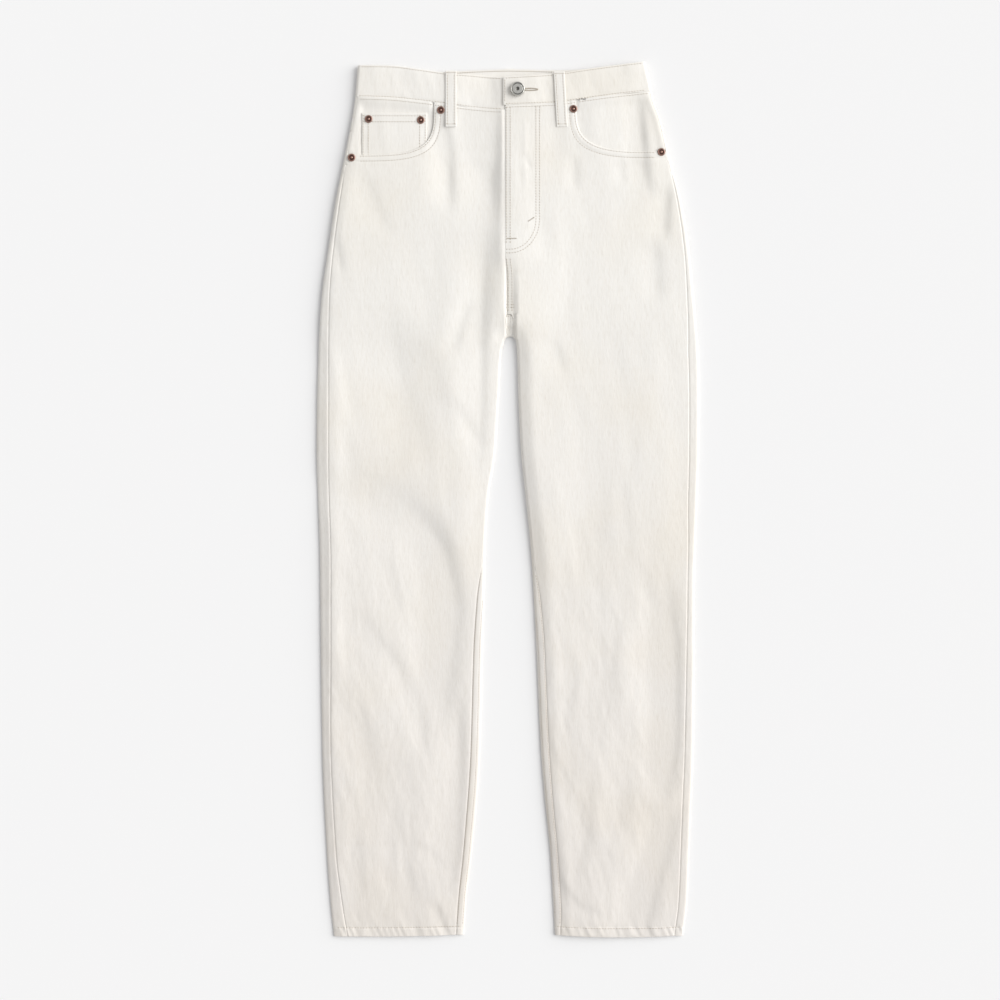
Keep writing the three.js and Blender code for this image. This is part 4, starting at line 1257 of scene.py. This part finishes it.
def sew_front(side):
    stitches = []
    height = lambda x, y: front_height(side, x, y)
    for off in MOUTH_STITCHES:
        sew(stitches, mouth_path(side, off), height)
    sew(stitches, hem_path(side, 4.5, 3), height)
    if side == LEFT:
        for off in (1.5, 6.2):
            sew(stitches, [(lap_edge(y) + off, y) for y in np.linspace(463, 300, 40)], height)
        c = FLY_CURVE
        for off in (0, 4.3):
            curve = [(c["x"] + off, y) for y in np.linspace(c["top"], c["turn"], 20)]
            across, down = c["across"] + off, c["down"] + off
            for a in np.linspace(0, math.pi / 2, 16):
                curve.append((c["centre_x"] + across * math.cos(a), c["turn"] - down * math.sin(a)))
            curve.append((FLY_EDGE_X + 1, c["turn"] - down))
            sew(stitches, curve, height)
        for start, end in FLY_TACKS:
            bar_tack(stitches, start, end, height)
        for off in (1.2, 1.2 + 0.7 * TWIN):
            sew(stitches, [(lap_edge(y) + off, y) for y in np.linspace(284, 220, 20)], height)
    return finish_sewing("sewing_front_" + WORD[side], stitches)


def sew_back(side):
    """Inseam rows on the rolled strip, the crotch, and the sewing of the underside."""
    stitches = []
    over = lambda x, y: top_height(side, x, y)
    for off, least in ((0.9, 3.4), (0.9 + TWIN, 1.2)):
        path = []
        for level in hem_levels(side)[len(HEM_STEPS):]:
            seam = inseam_inset(side, level)
            if level[3] == 0 and seam - off > least:
                path.append(inner_point(side, level, seam - off))
        sew(stitches, path, over)
    front = lambda x, y: front_height(side, x, y)
    for y in CROTCH_STITCHES_Y:
        height = front if y > LAP_LOW_Y else over
        sew(stitches, [(CENTRE_X, y), (CENTRE_X + side * 5.5, y)], height, pitch=2.6)
    under = lambda x, y: skin(side, x, y, -1)
    sew(stitches, hem_path(side, 4, 4), under)
    for off in (1.5, 1.5 + TWIN):
        if side == LEFT:
            sew(stitches, [(CENTRE_X + off, 200), (CENTRE_X + off, YOKE_CENTRE_Y - 2)], under)
        start = (CENTRE_X + side * 2, YOKE_CENTRE_Y + off)
        end = (side * (leg(side, "outer", YOKE_SIDE_Y) - 5), YOKE_SIDE_Y + off)
        sew(stitches, [start, end], under)
    p = BACK_POCKET
    lean = p["lean"] * 0.85
    flat = lambda x, y: np.full(np.shape(x), 0.26)
    for off in (2, 2 + TWIN):
        shape = [
            (p["outer"] - off, p["top"] - 1),
            (p["outer"] - off + lean, p["side"] + off * 0.6),
            ((p["inner"] + p["outer"]) / 2 + p["lean"], p["tip"] + off * 1.02),
            (p["inner"] + off + lean, p["side"] + off * 0.6),
            (p["inner"] + off, p["top"] - 1),
        ]
        sew(stitches, [(side * x, y) for x, y in shape], flat)
        hem_y = p["top"] - off - 8
        sew(stitches, [(side * (p["outer"] - 1), hem_y), (side * (p["inner"] + 1), hem_y)], flat)
    return finish_sewing("sewing_back_" + WORD[side], stitches)


def sew_coin():
    stitches = []
    for y in (451.6, 444.6):
        sew(stitches, [(COIN["outer"] + 1, y), (COIN["inner"] - 1, y)], coin_height)
    for x in (-170.5, -164.4, -103.9, -97.4):
        sew(stitches, [(x, COIN["top"] - 1), (x, 401)], coin_height)
    return finish_sewing("sewing_coin_pocket", stitches)


def sew_band():
    stitches = []
    line = lambda table, column, off, xs: [(x, float(band_line(table, column, x)) + off) for x in xs]
    for side, first, last in ((RIGHT, -176, -7), (LEFT, -3.5, 166)):
        height = lambda x, y: band_face(side, x, y)
        table = BAND_FRONT[side]
        for column, off in (("seam", 1.6), ("top", -2.0)):
            path = line(table, column, off, np.linspace(first, last, 60))
            path = [(x, y) for x, y in path if side * x < float(leg(side, "outer", y)) - 3.6]
            sew(stitches, path, height)
        front = lambda x, y: front_height(side, x, y)
        width, _, _, corner_x, _ = MOUTHS[side]
        mouth_x = corner_x - side * width
        inner_end = -7 if side == RIGHT else -2
        sew(stitches, line(table, "seam", -2.6, np.linspace(mouth_x, inner_end, 40)), front)
        facing = lambda x, y: facing_height(side, x, y)
        outer_end = side * (float(leg(side, "outer", 470)) - 6)
        sew(stitches, line(table, "seam", -2.6, np.linspace(outer_end, mouth_x + side * 2, 40)), facing)
    inside = lambda x, y: np.full(np.shape(x), SEAT_LIFT + BAND)
    back_top = line(BAND_BACK, "top", -2.2, np.linspace(-78, 92, 60))
    sew(stitches, back_top, inside, pitch=2.9, size=(2.3, 1.1, 0.5))
    end = lambda x, y: band_face(LEFT, x, y)
    sew(stitches, [(BAND_LEFT_END_X + 1.8, 495), (BAND_LEFT_END_X + 1.8, 466)], end)
    h = BUTTONHOLE
    hole = []
    for a in np.linspace(0, 2 * math.pi, 60):
        hole.append((h["x"] + h["half_length"] * math.cos(a), h["y"] + h["half_width"] * math.sin(a)))
    for spot, (wx, wy) in zip(*walk(hole, 0.75)):
        across = np.array([-wy, wx]) / math.hypot(wx, wy)
        sew(stitches, [spot - across, spot + across], end, pitch=2, size=(1.9, 0.6, 0.5))
    return finish_sewing("sewing_waistband", stitches)


def sew_loops():
    stitches = []
    for _, top_x, top_y, end_x, end_y, under in LOOPS:
        for off in (-4, 4):
            path = [(mix(end_x, top_x, t) + off, mix(end_y, top_y, t)) for t in (0.03, 0.35, 0.65, 0.97)]
            height = lambda x, y: loop_height(np.clip((y - end_y) / (top_y - end_y), 0, 1)) - 0.08
            flat = lambda x, y: np.full(np.shape(x), 0.27)
            sew(stitches, path, flat if under else height)
        if not under:
            tack = lambda x, y: np.full(np.shape(x), loop_height(0.0) - 0.1)
            for x, y in ((end_x, end_y + 3.2), (top_x, top_y - 2.6)):
                bar_tack(stitches, (x - 5.6, y), (x + 5.6, y), tack)
    return finish_sewing("sewing_belt_loops", stitches)


# Hardware

def turned_piece(name, at, profile, material, steps):
    """A turned piece: its profile of radius, height and darkness is spun round the vertical."""
    bm = bmesh.new()
    hollow = bm.verts.layers.float.new("hollow")
    verts = []
    for radius, height, dark in profile:
        vert = bm.verts.new(Vector((radius, 0, height)) * MM)
        vert[hollow] = dark
        verts.append(vert)
    edges = [bm.edges.new(pair) for pair in zip(verts, verts[1:])]
    round_z = {"cent": (0, 0, 0), "axis": (0, 0, 1), "angle": 2 * math.pi}
    bmesh.ops.spin(bm, geom=verts + edges, steps=steps, use_merge=True, **round_z)
    bmesh.ops.remove_doubles(bm, verts=bm.verts[:], dist=1e-6)
    bmesh.ops.recalc_face_normals(bm, faces=bm.faces[:])
    bmesh.ops.translate(bm, verts=bm.verts[:], vec=Vector(at) * MM)
    for face in bm.faces:
        face.smooth = True
    return new_piece(name, bm, material, name)


def button():
    r, h = BUTTON["radius"], BUTTON["height"]
    shank, dimple = 4.2, 2.0
    ring_radii = np.linspace(r - 2.9, 2.4, 8)
    profile = [(0, 0, 1), (shank, 0, 1), (shank, 0.8, 1)]
    profile += [(r - 0.9, 1.0, 0.6), (r - 0.15, 1.5, 0.4), (r, 2.2, 0.2)]
    profile += [(r - 0.1, h - 0.9, 0), (r - 0.5, h - 0.25, 0), (r - 1.1, h - 0.05, 0)]
    profile += [(r - 1.7, h - 0.35, 0.7), (r - 2.1, h - 0.75, 1.0), (r - 2.5, h - 0.5, 0.5)]
    for k, radius in enumerate(ring_radii):
        profile.append((radius, h - 0.34 - 0.12 * (k % 2), -0.3 + 0.55 * (k % 2)))
    profile += [(dimple, h - 0.45, 0.6), (1.6, h - 0.9, 1.2), (0.8, h - 1.1, 1.2), (0, h - 1.1, 1.2)]
    at = (BUTTON["x"], BUTTON["y"], BAND_OVER_TOP + BUTTON["gap"])
    return turned_piece("button", at, profile, SILVER, 64)


def rivet(name, x, y, on):
    r = RIVET_RADIUS
    profile = [(0, 0, 1), (r - 0.2, 0, 1), (r, 0.25, 0.3), (r - 0.1, 0.6, 0.1)]
    profile += [(r - 0.6, 0.9, 0), (r - 1.2, 0.9, 0.2), (r - 1.9, 0.62, 0.9), (2.0, 0.5, 1.1)]
    profile += [(1.6, 0.55, 0.9), (1.35, 1.05, 0.1), (1.0, 1.4, 0), (0.5, 1.55, 0), (0, 1.6, 0)]
    side = RIGHT if x < 0 else LEFT
    around = np.radians(np.arange(0, 360, 30))
    px, py = x + r * np.cos(around), y + r * np.sin(around)
    height = coin_height(px, py) if on == "coin" else front_height(side, px, py)
    at = (x, y, float(height.max()) + 0.02)
    return turned_piece(name, at, profile, COPPER, 36)


for side in (RIGHT, LEFT):
    front_panel(side)
    back_panel(side)
    yoke(side)
    pocket_facing(side)
    back_pocket(side)
    sew_front(side)
    sew_back(side)
coin_pocket()
waistband()
for loop in LOOPS:
    belt_loop(*loop)
sew_coin()
sew_band()
sew_loops()
button()
for row in RIVETS:
    rivet(*row)


# Floor, light and camera
PIXEL = 1.18  # millimetres of the garment for each pixel of the picture
PICTURE = 1000
LENS, SENSOR = 85, 36
LOOK_AT = Vector((-9.4, -0.6, 0)) * MM
FLOOR_HALF = 6  # metres
FLOOR_Z = -0.0002
KEY = {"azimuth": 14, "elevation": 28, "spread": 58, "power": 3.27, "colour": (1, 0.995, 0.985)}
ROOM_LIGHT = 0.545


def floor():
    bm = bmesh.new()
    bmesh.ops.create_grid(bm, x_segments=1, y_segments=1, size=FLOOR_HALF)
    bmesh.ops.translate(bm, verts=bm.verts[:], vec=(0, 0, FLOOR_Z))
    material, _ = start_material("pale floor", (0.885, 0.885, 0.89), 0.9)
    piece = mesh_object("floor", bm, material)
    piece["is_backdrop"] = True


def soft_sun(name, azimuth, elevation, spread, power, colour):
    data = bpy.data.lights.new(name, "SUN")
    data.energy = power
    data.angle = math.radians(spread)
    data.color = colour
    light = bpy.data.objects.new(name, data)
    a, e = math.radians(azimuth), math.radians(elevation)
    towards = Vector((math.cos(a) * math.cos(e), math.sin(a) * math.cos(e), math.sin(e)))
    light.rotation_euler = towards.to_track_quat("Z", "Y").to_euler()
    bpy.context.scene.collection.objects.link(light)


def surroundings():
    scene = bpy.context.scene
    world = bpy.data.worlds.new("studio")
    world.use_nodes = True
    background = world.node_tree.nodes["Background"]
    background.inputs["Color"].default_value = (1, 1, 1, 1)
    background.inputs["Strength"].default_value = ROOM_LIGHT
    scene.world = world
    soft_sun("key", **KEY)
    scene.view_settings.view_transform = "Standard"


def camera():
    data = bpy.data.cameras.new("camera")
    data.lens = LENS
    data.sensor_width = SENSOR
    data.sensor_fit = "HORIZONTAL"
    data.clip_end = 100
    away = PIXEL * PICTURE * MM * LENS / SENSOR
    piece = bpy.data.objects.new("camera", data)
    piece.location = LOOK_AT + Vector((0, 0, away))
    bpy.context.scene.collection.objects.link(piece)
    bpy.context.scene.camera = piece


floor()
surroundings()
camera()

plain = lambda box: [[float(v) for v in corner] for corner in box]
{"cad": plain(CAD_BOX), "visual": plain(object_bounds())}
